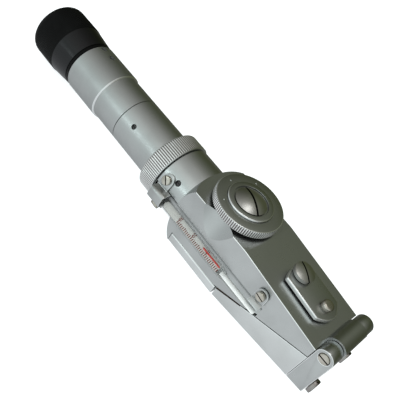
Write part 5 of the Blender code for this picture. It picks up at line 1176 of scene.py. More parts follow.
@dataclass(frozen=True)
class Casting:
    """Body casting with its neck, shoulder, scoops, groove and pockets.

    An undercut is two distances, two sides and two heights. The prism's pocket
    is runs along the seam with rises over it.
    """

    seam: Seam
    hinge: Hinge
    neck_start: float = 0.6
    shoulder_start: float = 14.82
    shoulder: float = 12.7
    shoulder_centre: float = 11.8
    corner: float = 22.78
    base_start: float = 20.45
    base_top: float = -11.15
    spigot: float = 13.2
    spigot_start: float = -5.0
    bore_length: float = 24.0
    drum_bore: float = 11.3
    drum_bore_height: float = 25.0
    shaft_bore: float = 5.3
    shaft_bore_height: float = 40.0
    scoop: float = 16.6
    scoop_depth: float = 2.75
    scoop_height: float = 10.7
    scoop_from_knob: float = 0.75
    groove: float = 4.5
    groove_out: float = 2.33
    groove_height: float = -1.15
    groove_length: float = 70.8
    port: float = 1.4
    port_depth: float = 6.0
    # Undercuts are thin cuts along the groove's upper edge; their lining of painted shade draws dark
    # shadow lines there
    undercuts: tuple[tuple[Pair, Pair, Pair], ...] = (
        ((9.0, 47.0), (-15.9, -14.75), (2.45, 2.75)),
        ((51.0, 65.0), (-15.9, -14.2), (-1.0, 2.68)))
    prism_pocket: Outline = ((6.6, -OVERRUN), (37.5, -OVERRUN), (37.5, 0.4), (28.2, 9.9),
                             (9.8, 9.9), (6.6, 0.4))
    mask_run: Pair = (4.2, 39.8)
    window_seat: float = 4.5
    window_seat_depth: float = 2.2
    window_bore: float = 3.3
    window_bore_depth: float = 7.0
    knuckle_end: float = 103.4
    edge: float = 0.2
    edge_past: float = 0.1

    def limit(self) -> Shape:
        """Turned solid that rounds the neck and the shoulder."""
        low = math.asin((NECK - self.shoulder_centre) / self.shoulder)
        high = math.asin((self.corner - self.shoulder_centre) / self.shoulder)
        middle = self.shoulder_start + self.shoulder * math.cos(low)
        profile = [(-OVERRUN, 0.0), (-OVERRUN, NECK)]
        steps = 14
        for k in range(steps + 1):
            angle = low + (high - low) * k / steps
            profile.append((middle - self.shoulder * math.cos(angle),
                            self.shoulder_centre + self.shoulder * math.sin(angle)))
        end = self.seam.head_end + OVERRUN
        return Shape.turned(profile + [(end, self.corner), (end, 0.0)], FINE_ROUND)

    def scoop_cutter(self, side: float) -> Shape:
        """Leaning round bar that cuts one finger scoop."""
        lean = math.atan2(self.scoop_depth, self.scoop_height)
        centre = self.seam.half_width + self.scoop / math.cos(lean)
        start = bench(KNOB_FROM_RING - self.scoop_from_knob, side * centre,
                      self.seam.top - self.scoop_height)
        axis = Vector((0.0, -side * math.sin(lean), math.cos(lean)))
        return Shape.rod(start, axis, self.scoop_height / math.cos(lean) + 2.0 * OVERRUN,
                         self.scoop, FINE_ROUND)

    def edge_cutters(self) -> list[Shape]:
        """Cutters of the bright edges along the top face and over the scoops."""
        seam, width, ease, past = self.seam, self.edge, self.edge_past, 1.0
        cutters = []
        runs = ((bench(self.shoulder_start, 0.0, seam.top), ALONG,
                 seam.head_break - self.shoulder_start),
                (seam.on_top(seam.head_break), seam.top_slope,
                 (seam.head_end - seam.head_break) / math.cos(seam.top_tilt) + past))
        for side in (-1.0, 1.0):
            for start, way, length in runs:
                rise = ASIDE.cross(way) * -1.0
                corner = start + ASIDE * side * seam.half_width
                corners = [corner + ASIDE * side * ease - rise * (width + ease),
                           corner - ASIDE * side * (width + ease) + rise * ease,
                           corner + ASIDE * side * past + rise * past]
                cutters.append(Shape.extruded(corners, way * length))
            lean = math.atan2(self.scoop_depth, self.scoop_height)
            radius = self.scoop
            reach = seam.half_width - self.scoop_depth + radius / math.cos(lean)
            foot = bench(KNOB_FROM_RING - self.scoop_from_knob, side * reach, seam.top - width)
            flare = [(0.0, 0.0), (0.0, radius), (width + past, radius + width + past),
                     (width + past, 0.0)]
            cutters.append(Shape.turned(flare, FINE_ROUND, foot, UPWARD))
        return [cutter.edged() for cutter in cutters]

    def outline(self) -> list[Pair]:
        """Side view of the casting."""
        seam = self.seam
        face = seam.gap / 2.0
        roof = self.base_top + GAP
        foot = seam.start[0] + (roof - seam.height(seam.start[0], face)) / math.tan(seam.tilt)
        return [(self.neck_start, -AXIS_HEIGHT), (self.base_start - GAP, -AXIS_HEIGHT),
                (self.base_start - GAP, roof), (foot, roof),
                (seam.head_end, seam.height(seam.head_end, face)),
                (seam.head_end, seam.top - seam.head_drop), (seam.head_break, seam.top),
                (self.neck_start, seam.top)]

    def dress(self) -> None:
        """Makes the casting."""
        seam = self.seam
        casting = Shape.slab(self.outline(), seam.half_width).within(self.limit())
        casting.join(self.hinge.knuckle_shape(seam))
        beyond = rectangle(self.knuckle_end, self.knuckle_end + 2.0 * OVERRUN, 0.0,
                           AXIS_HEIGHT * 2.0)
        casting.cut(Shape.slab(beyond, seam.half_width))
        casting.cut(self.scoop_cutter(-1.0), self.scoop_cutter(1.0))
        casting.cut(Shape.rod(bench(0.0, -(seam.half_width + self.groove_out),
                                    self.groove_height), ALONG, self.groove_length,
                              self.groove, WIDE_ROUND))
        casting.cut(*self.edge_cutters())
        start, inside = self.spigot_start, self.neck_start + OVERRUN
        casting.join(Shape.turned([(start, BARREL_BORE), (start, self.spigot),
                                   (inside, self.spigot), (inside, BARREL_BORE)]))
        casting.cut(Shape.rod(bench(start - OVERRUN, 0.0, 0.0), ALONG, self.bore_length,
                              BARREL_BORE, ROUND))
        casting.cut(Shape.rod(bench(KNOB_FROM_RING, 0.0, -AXIS_HEIGHT), UPWARD,
                              self.drum_bore_height, self.drum_bore, ROUND))
        casting.cut(Shape.rod(bench(KNOB_FROM_RING, 0.0, 0.0), UPWARD,
                              self.shaft_bore_height, self.shaft_bore))
        casting.cut(self.hinge.across(seam.half_width, self.hinge.pin + GAP, SMALL_ROUND))
        # The port hole and the undercuts are lined in painted shade
        casting.cut(drill(PORT_FROM_RING, NECK, PORT_ANGLE, self.port_depth, self.port).lined())
        for (first, last), sides, heights in self.undercuts:
            corners = [bench(first, y, z) for y, z in rectangle(*sides, *heights)]
            casting.cut(Shape.extruded(corners, ALONG * (last - first)).lined())
        casting.cut(*self.pockets())
        casting.dress("body_casting", Body.STILL, CAST_SATIN, "body_block", angle=9.0,
                      edge=POLISHED, lining=HOLE_SHADE)

    def pockets(self) -> list[Shape]:
        """Cutters of the prism's pocket, its mask's recess and the light window."""
        seam = self.seam
        mouth, way = seam.on_top(seam.window, 0.0, OVERRUN), -seam.top_normal
        return [seam.block(self.prism_pocket, seam.prism_half),
                seam.block(rectangle(*self.mask_run, -OVERRUN, seam.mask_depth), seam.mask_half),
                Shape.rod(mouth, way, OVERRUN + self.window_seat_depth, self.window_seat),
                Shape.rod(mouth, way, OVERRUN + self.window_bore_depth, self.window_bore)]


@dataclass(frozen=True)
class BasePlate:
    """Flat plate under the block with its countersunk screws."""

    start: float = 20.45
    length: float = 29.85
    thickness: float = 4.85
    half_width: float = 15.7
    chamfer: float = 0.4
    inset: Pair = (4.0, 3.2)
    screw_head: float = 2.0
    screw_shank: float = 1.0
    screw_depth: float = 1.4
    slot: float = 0.5
    slot_depth: float = 0.6
    bite: float = 2.6
    edge: float = 0.2

    def places(self) -> list[Point]:
        """Bench points of the screws on the plate's underside."""
        ends = (self.start + self.inset[0], self.start + self.length - self.inset[0])
        side = self.half_width - self.inset[1]
        return [bench(x, y, -AXIS_HEIGHT) for x in ends for y in (-side, side)]

    def dress(self, trees: Trees) -> None:
        """Makes the plate and its four screws."""
        low, high = -AXIS_HEIGHT, self.thickness - AXIS_HEIGHT
        half, edge = self.half_width, self.chamfer
        section = [(-half + edge, low), (half - edge, low), (half, low + edge),
                   (half, high - edge), (half - edge, high), (edge - half, high),
                   (-half, high - edge), (-half, low + edge)]
        corners = [bench(self.start, y, z) for y, z in section]
        plate = Shape.extruded(corners, ALONG * self.length)
        for place in self.places():
            head, shank = self.screw_head + SLACK, self.screw_shank + SLACK
            seat = [(-OVERRUN, 0.0), (-OVERRUN, head), (0.0, head),
                    (self.screw_depth + SLACK, shank), (self.thickness + OVERRUN, shank),
                    (self.thickness + OVERRUN, 0.0)]
            plate.cut(Shape.turned(seat, SMALL_ROUND, place, UPWARD))
        plate.eased(self.edge, angle=25.0)
        plate.dress("base_plate_ground", Body.STILL, SHEET_SATIN, "base_plate", edge=POLISHED)
        sunk = self.chamfer / 2.0
        length = self.thickness + self.bite
        profile = [(sunk, 0.0), (sunk, self.screw_head), (sunk + self.screw_depth, self.screw_shank),
                   (length, self.screw_shank), (length, 0.0)]
        tool = Shape.turned(profile, SMALL_ROUND, Vector(), UPWARD)
        crown = Vector((0.0, 0.0, sunk))
        tool.cut(slot_cutter(crown, -UPWARD, ALONG, self.screw_head, self.slot,
                             self.slot_depth))
        mesh = bmesh.new()
        for place in self.places():
            mesh.verts.new(place)
        screws = Shape(mesh)
        screws.grown_by(trees.copies, Tool=tool.object, Material=NICKEL.material())
        bpy.data.objects.remove(tool.object)
        nodes = [f"base_screw_{number}" for number in range(1, len(self.places()) + 1)]
        screws.dress("base_screws", Body.STILL, NICKEL, *nodes)


@dataclass(frozen=True)
class Lid:
    """Wedge-shaped lid with its prism pocket and its window.

    The pocket and the relief are runs along the seam with rises over it.
    """

    seam: Seam
    hinge: Hinge
    window_middle: float = 76.0
    window_length: float = 15.0
    window_half: float = 6.0
    window_rim: float = 1.2
    window_thickness: float = 1.5
    window_inset: float = 0.2
    window_gap: float = 0.15
    window_edge: float = 0.15
    light_depth: float = 9.0
    prism_pocket: Outline = ((13.6, -5.3), (36.4, -5.3), (38.4, OVERRUN), (11.6, OVERRUN))
    mask_run: Pair = (9.2, 40.8)
    end_reach: float = 0.25
    edge: float = 0.3
    relief: Outline = ((-1.0, -0.86), (0.0, -0.86), (14.0, -0.55), (14.0, 0.3), (-1.0, 0.3))
    relief_depth: float = 0.45

    @property
    def tilt(self) -> float:
        """Angle of the underside to the optical axis."""
        seam = self.seam
        return math.atan2(seam.lid_rise, seam.head_end - seam.head_break)

    def plate(self, low: float, high: float, floor: float, top: float,
              half: float) -> Shape:
        """Block on the underside between two runs and two rises."""
        seam = self.seam
        origin = bench(seam.head_break, 0.0, seam.lid_floor(seam.head_break))
        way = Vector((math.cos(self.tilt), 0.0, math.sin(self.tilt)))
        rise = Vector((-math.sin(self.tilt), 0.0, math.cos(self.tilt)))
        corners = [origin + way * run + rise * up - ASIDE * half
                   for run, up in rectangle(low, high, floor, top)]
        return Shape.extruded(corners, ASIDE * 2.0 * half)

    def dress(self) -> None:
        """Makes the lid and its window glass."""
        seam = self.seam
        face = -seam.gap / 2.0
        low, high = seam.head_break, seam.head_end + self.end_reach
        lid = Shape.slab([(low, seam.lid_floor(low)), (high, seam.lid_floor(high)),
                          (high, seam.height(high, face)), (low, seam.height(low, face))],
                         seam.half_width)
        middle = (self.window_middle - low) / math.cos(self.tilt)
        first, last = middle - self.window_length / 2.0, middle + self.window_length / 2.0
        rim = self.window_rim + self.window_gap
        depth = self.window_inset + self.window_thickness + self.window_gap
        lid.eased(self.edge, angle=20.0)
        lid.cut(seam.block(self.prism_pocket, seam.prism_half),
                seam.block(rectangle(*self.mask_run, -seam.mask_depth, OVERRUN), seam.mask_half),
                self.plate(first - rim, last + rim, -OVERRUN, depth, self.window_half + rim),
                self.plate(first, last, -OVERRUN, self.light_depth, self.window_half))
        # A shallow rebate along the seam, lined in painted shade, draws a dark line at the seam
        for side in (-1.0, 1.0):
            corners = [self.seam.point(run, rise, side * (self.seam.half_width + OVERRUN))
                       for run, rise in self.relief]
            depth = OVERRUN + self.relief_depth
            lid.cut(Shape.extruded(corners, ASIDE * (-side * depth)).lined())
        lid.dress("lid_casting", Body.LID, LID_SATIN, "lid_body", angle=30.0, edge=POLISHED,
                  lining=SLOT_SHADE)
        floor = self.window_inset
        glass = self.plate(first - self.window_rim, last + self.window_rim, floor,
                           floor + self.window_thickness, self.window_half + self.window_rim)
        glass.eased(self.window_edge).dress("lid_window_glass", Body.LID, ROUGH_GLASS,
                                            "lid_window")


# Shutter

@dataclass(frozen=True)
class Shutter:
    """Plate that turns over the light window, with its knob and its domed screw.

    The knob's side is heights over the plate with radii.
    """

    seam: Seam
    pivot: float = 69.8
    half: float = 7.7
    back: float = 2.0
    front: float = 16.5
    back_bulge: float = 2.3
    front_bulge: float = 4.2
    thickness: float = 2.0
    lift: float = 0.7
    boss: float = 4.0
    edge: float = 0.42
    knob_reach: float = 15.3
    knob_lift: float = 0.02
    knob_foot: float = 1.0
    knob_side: Outline = ((0.0, 2.05), (0.35, 2.2), (0.6, 2.5), (0.85, 2.6), (1.85, 2.6),
                          (2.3, 2.4), (2.54, 2.05), (2.6, 1.6), (2.6, 0.0))
    window: float = 4.2
    window_thickness: float = 1.6
    window_edge: float = 0.12
    screw: Screw = Screw(4.7, 2.1, 1.6, 6.5, dome=0.75, slot=0.7, ease=0.5)
    slot_angle: float = math.radians(-25.0)

    def place(self, run: float, side: float, rise: float) -> Point:
        """Bench point at a run down the slope from the pivot."""
        return self.seam.on_top(self.pivot, side, rise) + self.seam.top_slope * run

    def outline(self) -> list[Pair]:
        """Outline of the plate as (run, side)."""
        steps = 28
        shares = [2.0 * k / steps - 1.0 for k in range(steps + 1)]
        front = [(self.front + self.front_bulge * (1.0 - s * s), s * self.half)
                 for s in shares]
        back = [(-self.back - self.back_bulge * (1.0 - s * s), -s * self.half)
                for s in shares]
        return front + back

    def dress(self) -> None:
        """Makes the plate, the small knob and the pivot screw."""
        normal = self.seam.top_normal
        corners = [self.place(run, side, self.lift) for run, side in self.outline()]
        plate = Shape.extruded(corners, normal * self.thickness)
        plate.eased(self.edge, segments=3, angle=40.0)
        plate.marked(Layer.EDGE, lambda centre, way: abs(way.dot(normal)) < 0.5)
        plate.join(Shape.rod(self.place(0.0, 0.0, GAP), normal,
                             self.lift - GAP + self.thickness / 2.0, self.boss))
        plate.dress("shutter_leaf", Body.SHUTTER, CAST_SATIN, "shutter_plate", edge=POLISHED)
        top, sunk = self.lift + self.thickness, -self.thickness / 2.0
        profile = [(sunk, 0.0), (sunk, self.knob_foot), (0.0, self.knob_foot), *self.knob_side]
        knob = Shape.turned(profile, MIDDLE_ROUND,
                            self.place(self.knob_reach, 0.0, top + self.knob_lift), normal)
        knob.dress("shutter_knob_turned", Body.SHUTTER, NICKEL, "shutter_knob")
        way = self.seam.top_slope * math.cos(self.slot_angle)
        way += ASIDE * math.sin(self.slot_angle)
        screw = self.screw.shape(self.place(0.0, 0.0, top + GAP), normal, way)
        screw.dress("shutter_screw_domed", Body.STILL, DOME_NICKEL, "shutter_screw",
                    lining=HOLE_SHADE)
        window = Shape.rod(self.seam.on_top(self.seam.window, 0.0, -GAP), -normal,
                           self.window_thickness, self.window, MIDDLE_ROUND)
        window.eased(self.window_edge).dress("light_window_glass", Body.STILL, ROUGH_GLASS,
                                             "light_window")


# Range knob

@dataclass(frozen=True)
class RangeKnob:
    """Milled knob with its clamp ring and its big domed screw.

    Its edges are heights from a face with drops under the rim. The moat's lip
    is falls from the clamp's top with reaches beyond the moat.
    """

    radius: float = 15.71
    underside: float = 16.98
    face: float = 20.87
    hub: float = 10.0
    hub_foot: float = 16.0
    bore: float = 3.3
    ridges: int = 100
    ridge_depth: float = 0.3
    ridge_ends: Pair = (0.1, 0.12)
    ridge_reach: float = 0.4
    lower_edge: Outline = ((0.0, 0.55), (0.12, 0.3), (0.35, 0.08), (0.55, 0.0), (0.75, 0.0))
    upper_edge: Outline = ((0.75, 0.0), (0.55, 0.0), (0.3, 0.1), (0.1, 0.28), (0.0, 0.6))
    worn_shares: Pair = (0.3, 0.97)
    worn_width: float = 0.8
    recess: float = 0.6
    recess_gap: float = 0.12
    dot: float = 0.33
    dot_depth: float = 0.4
    dot_reach: float = 12.5
    dot_angle: float = math.radians(182.0)
    dot_step: float = math.radians(60.0)
    clamp: float = 10.56
    clamp_top: float = 0.9
    clamp_sink: float = 0.3
    clamp_bore: float = 1.9
    clamp_chamfer: float = 0.42
    bulge_shares: Pair = (0.3, 0.35)
    moat: float = 7.95
    moat_floor: float = 0.2
    moat_lip: Outline = ((0.0, 0.08), (0.08, 0.02), (0.2, 0.0))
    bright_from_moat: float = 1.0
    dome: Screw = Screw(7.3, 0.3, 1.6, 6.9, dome=1.85, slot=0.95)
    dome_lift: float = 0.5
    slot_angle: float = math.radians(-23.0)

    def dress(self, trees: Trees) -> None:
        """Makes the knob, the clamp ring and the screw."""
        low, high = self.underside, self.face
        rim = self.radius
        floor, wall = high - self.recess, self.clamp + self.recess_gap
        profile = [(self.hub_foot, self.bore), (self.hub_foot, self.hub), (low, self.hub)]
        profile += [(low + rise, rim - drop) for rise, drop in self.lower_edge]
        profile += [(high - fall, rim - drop) for fall, drop in self.upper_edge]
        profile += [(high, wall), (floor, wall), (floor, self.bore)]
        knob = Shape.turned(profile, self.ridges * RIDGE_FACETS)
        knob.grown_by(trees.ridges, Count=float(self.ridges), Depth=self.ridge_depth,
                      Low=low + self.ridge_ends[0], High=high - self.ridge_ends[1], Fade=0.25,
                      Land=0.05, Least_Radius=rim - self.ridge_reach,
                      Material=MILLED_KNOB.material())
        upright = Matrix.Translation(bench(KNOB_FROM_RING, 0.0, 0.0))
        least, most = self.worn_shares
        knob.marked(Layer.EDGE, lambda centre, normal: least < normal.x < most
                    and centre.x > floor and centre.yz.length > rim - self.worn_width)
        knob.moved(upright @ ALONG.rotation_difference(UPWARD).to_matrix().to_4x4())
        for step in (-1.0, 0.0, 1.0):
            angle = self.dot_angle + step * self.dot_step
            place = bench(KNOB_FROM_RING + self.dot_reach * math.cos(angle),
                          self.dot_reach * math.sin(angle), high + OVERRUN)
            knob.cut(Shape.rod(place, -UPWARD, OVERRUN + self.dot_depth, self.dot,
                               TINY_ROUND).lined())
        knob.dress("range_knob_milled", Body.KNOB, MILLED_KNOB, "range_knob", angle=24.0,
                   edge=POLISHED, lining=POLISHED)
        foot = bench(KNOB_FROM_RING, 0.0, high)
        top, chamfer, bore = self.clamp_top, self.clamp_chamfer, self.clamp_bore
        profile = [(-self.clamp_sink, bore), (-self.clamp_sink, self.clamp),
                   (top - chamfer, self.clamp),
                   (top - self.bulge_shares[0] * chamfer,
                    self.clamp - self.bulge_shares[1] * chamfer),
                   (top, self.clamp - chamfer)]
        profile += [(top - fall, self.moat + reach) for fall, reach in self.moat_lip]
        profile += [(self.moat_floor, self.moat), (self.moat_floor, bore)]
        clamp = Shape.turned(profile, FINE_ROUND, foot, UPWARD)
        least, most = CHAMFER_SHARES
        bright = self.moat + self.bright_from_moat
        clamp.marked(Layer.EDGE, lambda centre, normal: least < normal.z < most
                     and (centre.xy - foot.xy).length > bright)
        clamp.dress("knob_clamp_ring", Body.KNOB, MILLED_KNOB, "knob_plate", angle=50.0,
                    edge=POLISHED)
        way = Vector((math.cos(self.slot_angle), math.sin(self.slot_angle), 0.0))
        screw = self.dome.shape(foot + UPWARD * self.dome_lift, UPWARD, way)
        screw.dress("knob_screw_domed", Body.KNOB, DOME_NICKEL, "knob_screw", lining=HOLE_SHADE)


# Barrel

@dataclass(frozen=True)
class Barrel:
    """Union ring, the three tubes and their headless screws.

    The tubes are distances with radii. The ring's lip is lengths back from its
    front with drops under its rim.
    """

    ring: float = 15.9
    ring_length: float = 9.0
    ring_ridges: int = 92
    ridge_depth: float = 0.24
    ring_bore: float = 12.8
    ring_cavity: float = 14.3
    ring_wall: float = 1.3
    ring_round: float = 1.2
    ring_face: float = 1.25
    ring_lip: Outline = ((0.75, 0.0), (0.35, 0.0), (0.12, 0.15), (0.0, 0.45))
    tube: float = 12.5
    lower: Outline = ((-34.25, BARREL_BORE), (-34.25, 12.38), (-34.13, 12.5), (-7.5, 12.5),
                      (-7.4, 12.5), (-7.4, 13.7), (-5.3, 13.7), (-5.3, 10.2), (5.0, 10.2),
                      (5.0, 9.0), (-7.4, 9.0), (-7.4, BARREL_BORE))
    middle: Outline = ((-58.1, 9.2), (-58.1, 11.2), (-50.1, 11.2), (-50.1, 12.5),
                       (-34.67, 12.5), (-34.55, 12.38), (-34.55, 10.2), (-22.05, 10.2),
                       (-22.05, 9.2))
    sleeve: float = 13.2
    sleeve_bore: float = 11.5
    upper: Outline = ((-71.6, 11.5), (-71.6, 13.08), (-71.48, 13.2), (-50.7, 13.2),
                      (-50.32, 12.95), (-50.1, 12.55), (-50.1, 11.5))
    sleeve_holes: Pair = (-69.9, -63.4)
    sleeve_hole: float = 1.4
    sleeve_hole_depth: float = 2.0
    sleeve_angle: float = math.radians(82.0)
    tube_hole_place: float = -26.0
    tube_hole: float = 1.3
    tube_hole_depth: float = 2.3
    tube_angle: float = math.radians(145.5)
    neck_screw: float = 1.25
    tube_screw: float = 1.15
    sleeve_screw: float = 1.3
    sink: float = 0.7
    sleeve_sink: float = 0.9
    screw_edge: float = 0.15
    slot_share: float = 0.3
    slot_depth: float = 0.5

    def dress(self, trees: Trees) -> None:
        """Makes the ring, the tubes and the screws."""
        self.union_ring(trees)
        self.tubes()
        self.headless("neck_screw_slotted", PORT_FROM_RING, NECK - self.sink, BARREL_BORE,
                      PORT_ANGLE, self.neck_screw, "neck_set_screw")
        self.headless("tube_screw_slotted", self.tube_hole_place, self.tube - self.sink,
                      BARREL_BORE, self.tube_angle, self.tube_screw, "tube_set_screw")
        for number, distance in enumerate(self.sleeve_holes, 1):
            self.headless(f"sleeve_screw_{number}_slotted", distance,
                          self.sleeve - self.sleeve_sink, self.sleeve_bore, self.sleeve_angle,
                          self.sleeve_screw, f"sleeve_set_screw_{number}")

    def union_ring(self, trees: Trees) -> None:
        """Makes the milled ring."""
        rim, rear, bend = self.ring, -self.ring_length, self.ring_round
        wall = rear + self.ring_wall
        profile = [(rear, self.ring_bore), (rear, rim - self.ring_face)]
        profile += arc((rear + bend, rim - bend), bend, 180.0, 90.0, 8)[1:]
        profile += [(0.0 - back, rim - drop) for back, drop in self.ring_lip]
        profile += [(0.0, self.ring_cavity), (wall, self.ring_cavity), (wall, self.ring_bore)]
        ring = Shape.turned(profile, self.ring_ridges * RIDGE_FACETS)
        ring.grown_by(trees.ridges, Count=float(self.ring_ridges), Depth=self.ridge_depth,
                      Low=rear + SLACK, High=-GAP, Fade=0.3, Least_Radius=rim - self.ring_wall,
                      Land=0.15, Material=MILLED_RING.material())
        ring.dress("union_ring_milled", Body.RING, MILLED_RING, "union_ring", angle=24.0)

    def tubes(self) -> None:
        """Makes the three tubes, with their holes and the upper one's bright lip."""
        lower = Shape.turned(self.lower, FINE_ROUND)
        lower.cut(drill(self.tube_hole_place, self.tube, self.tube_angle, self.tube_hole_depth,
                        self.tube_hole))
        lower.dress("lower_tube_turned", Body.STILL, TURNED_SATIN, "lower_tube", angle=28.0)
        Shape.turned(self.middle, FINE_ROUND).dress("middle_tube_turned", Body.STILL,
                                                    TURNED_SATIN, "middle_tube", angle=28.0)
        upper = Shape.turned(self.upper, FINE_ROUND)
        least, most = CHAMFER_SHARES
        upper.marked(Layer.EDGE, lambda centre, normal: least < normal.x < most)
        for distance in self.sleeve_holes:
            upper.cut(drill(distance, self.sleeve, self.sleeve_angle, self.sleeve_hole_depth,
                            self.sleeve_hole).edged())
        upper.dress("upper_tube_turned", Body.STILL, TURNED_SATIN, "upper_tube", angle=28.0,
                    edge=POLISHED)

    def headless(self, name: str, distance: float, outer: float, inner: float, angle: float,
                 radius: float, node: str) -> None:
        """Headless slotted screw in a radial hole.

        Args:
            name: Name of the piece.
            distance: Its distance.
            outer: Radius of its outer end.
            inner: Radius of its inner end.
            angle: Its angle about the optical axis.
            radius: Its own radius.
            node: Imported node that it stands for.
        """
        length, edge = outer - inner, self.screw_edge
        profile = [(0.0, 0.0), (0.0, radius), (length - edge, radius),
                   (length, radius - edge), (length, 0.0)]
        screw = Shape.turned(profile, TINY_ROUND, round_point(distance, inner, angle),
                             outward(angle))
        screw.cut(slot_cutter(round_point(distance, outer, angle), outward(angle), ALONG,
                              radius, self.slot_share * radius, self.slot_depth))
        screw.dress(name, Body.STILL, DARK, node)


@dataclass(frozen=True)
class Eyepiece:
    """Black bush, grip cap and dished eye plate.

    The bush is distances with radii. The grip's lip and the cone's start are
    lengths from their joint with drops under the rim, and the plate is depths
    from the cap's rear face with radii.
    """

    bush: Outline = ((-85.2, 9.9), (-85.2, 11.9), (-73.6, 11.9), (-73.6, 12.9),
                     (-73.45, 13.05), (-72.05, 13.05), (-71.9, 12.9), (-71.9, 11.2),
                     (-63.9, 11.2), (-63.9, 9.9))
    front: float = -73.9
    cone: float = 10.9
    grip: float = 13.9
    front_radius: float = 13.15
    grip_radius: float = 14.4
    end: float = 3.3
    end_round: float = 2.6
    end_angles: tuple[float, ...] = (15.0, 30.0, 45.0, 60.0, 75.0, 90.0)
    lines: int = 150
    line_depth: float = 0.12
    lip: Outline = ((0.5, 0.0), (0.15, 0.05), (0.0, 0.2), (0.0, 0.4))
    cone_start: Outline = ((0.0, 0.4), (0.1, 0.2))
    cone_edge: float = 0.15
    neck_bore: float = 12.2
    eye_bore: float = 11.4
    web: Pair = (8.9, 11.9)
    web_bore: float = 9.9
    plate: Outline = ((7.6, 9.7), (4.5, 9.7), (4.5, 8.0), (2.3, 8.0), (1.3, 8.9), (0.6, 9.9),
                      (0.3, 10.6), (0.3, 11.0), (0.4, 11.1), (7.6, 11.1))

    def dress(self, trees: Trees) -> None:
        """Makes the bush, the cap and the plate."""
        Shape.turned(self.bush, FINE_ROUND).dress("eyepiece_bush_black", Body.STILL, BLACK_GRIP,
                                                  "eyepiece_bush", angle=28.0)
        cone = self.front - self.cone
        grip = cone - self.grip
        rear = grip - self.end
        rim, bend = self.grip_radius, self.end_round
        low, high = (rear + reach for reach in self.web)
        profile = [(low, self.eye_bore), (rear, self.eye_bore), (rear, rim - bend)]
        profile += [(grip - self.end * math.cos(math.radians(t)),
                     rim - bend + bend * math.sin(math.radians(t))) for t in self.end_angles]
        profile.append((grip + GAP, rim))
        profile += [(cone - back, rim - drop) for back, drop in self.lip]
        profile += [(cone, self.neck_bore), (high, self.neck_bore), (high, self.web_bore),
                    (low, self.web_bore)]
        cap = Shape.turned(profile, self.lines * RIDGE_FACETS)
        cap.grown_by(trees.ridges, Count=float(self.lines), Depth=self.line_depth,
                     Low=grip - 2.0 * SLACK, High=cone, Fade=0.3, Least_Radius=rim - GAP,
                     Land=0.4, Material=BLACK_GRIP.material())
        cap.dress("eyepiece_cap_grip", Body.CAP, BLACK_GRIP, "eyepiece_cap", angle=24.0)
        front, edge = self.front, self.cone_edge
        profile = [(cone, self.neck_bore)]
        profile += [(cone + ahead, rim - drop) for ahead, drop in self.cone_start]
        profile += [(front - edge, self.front_radius), (front, self.front_radius - edge),
                    (front, self.neck_bore)]
        Shape.turned(profile, FINE_ROUND).dress("eyepiece_cap_cone", Body.CAP, BLACK_GLOSS,
                                                "eyepiece_cap", angle=24.0)
        plate = [(rear + depth, radius) for depth, radius in self.plate]
        Shape.turned(plate, FINE_ROUND).dress("eye_plate_dished", Body.CAP, BLACK_GLOSS,
                                              "eye_plate", angle=28.0)


# Thermometer and clips

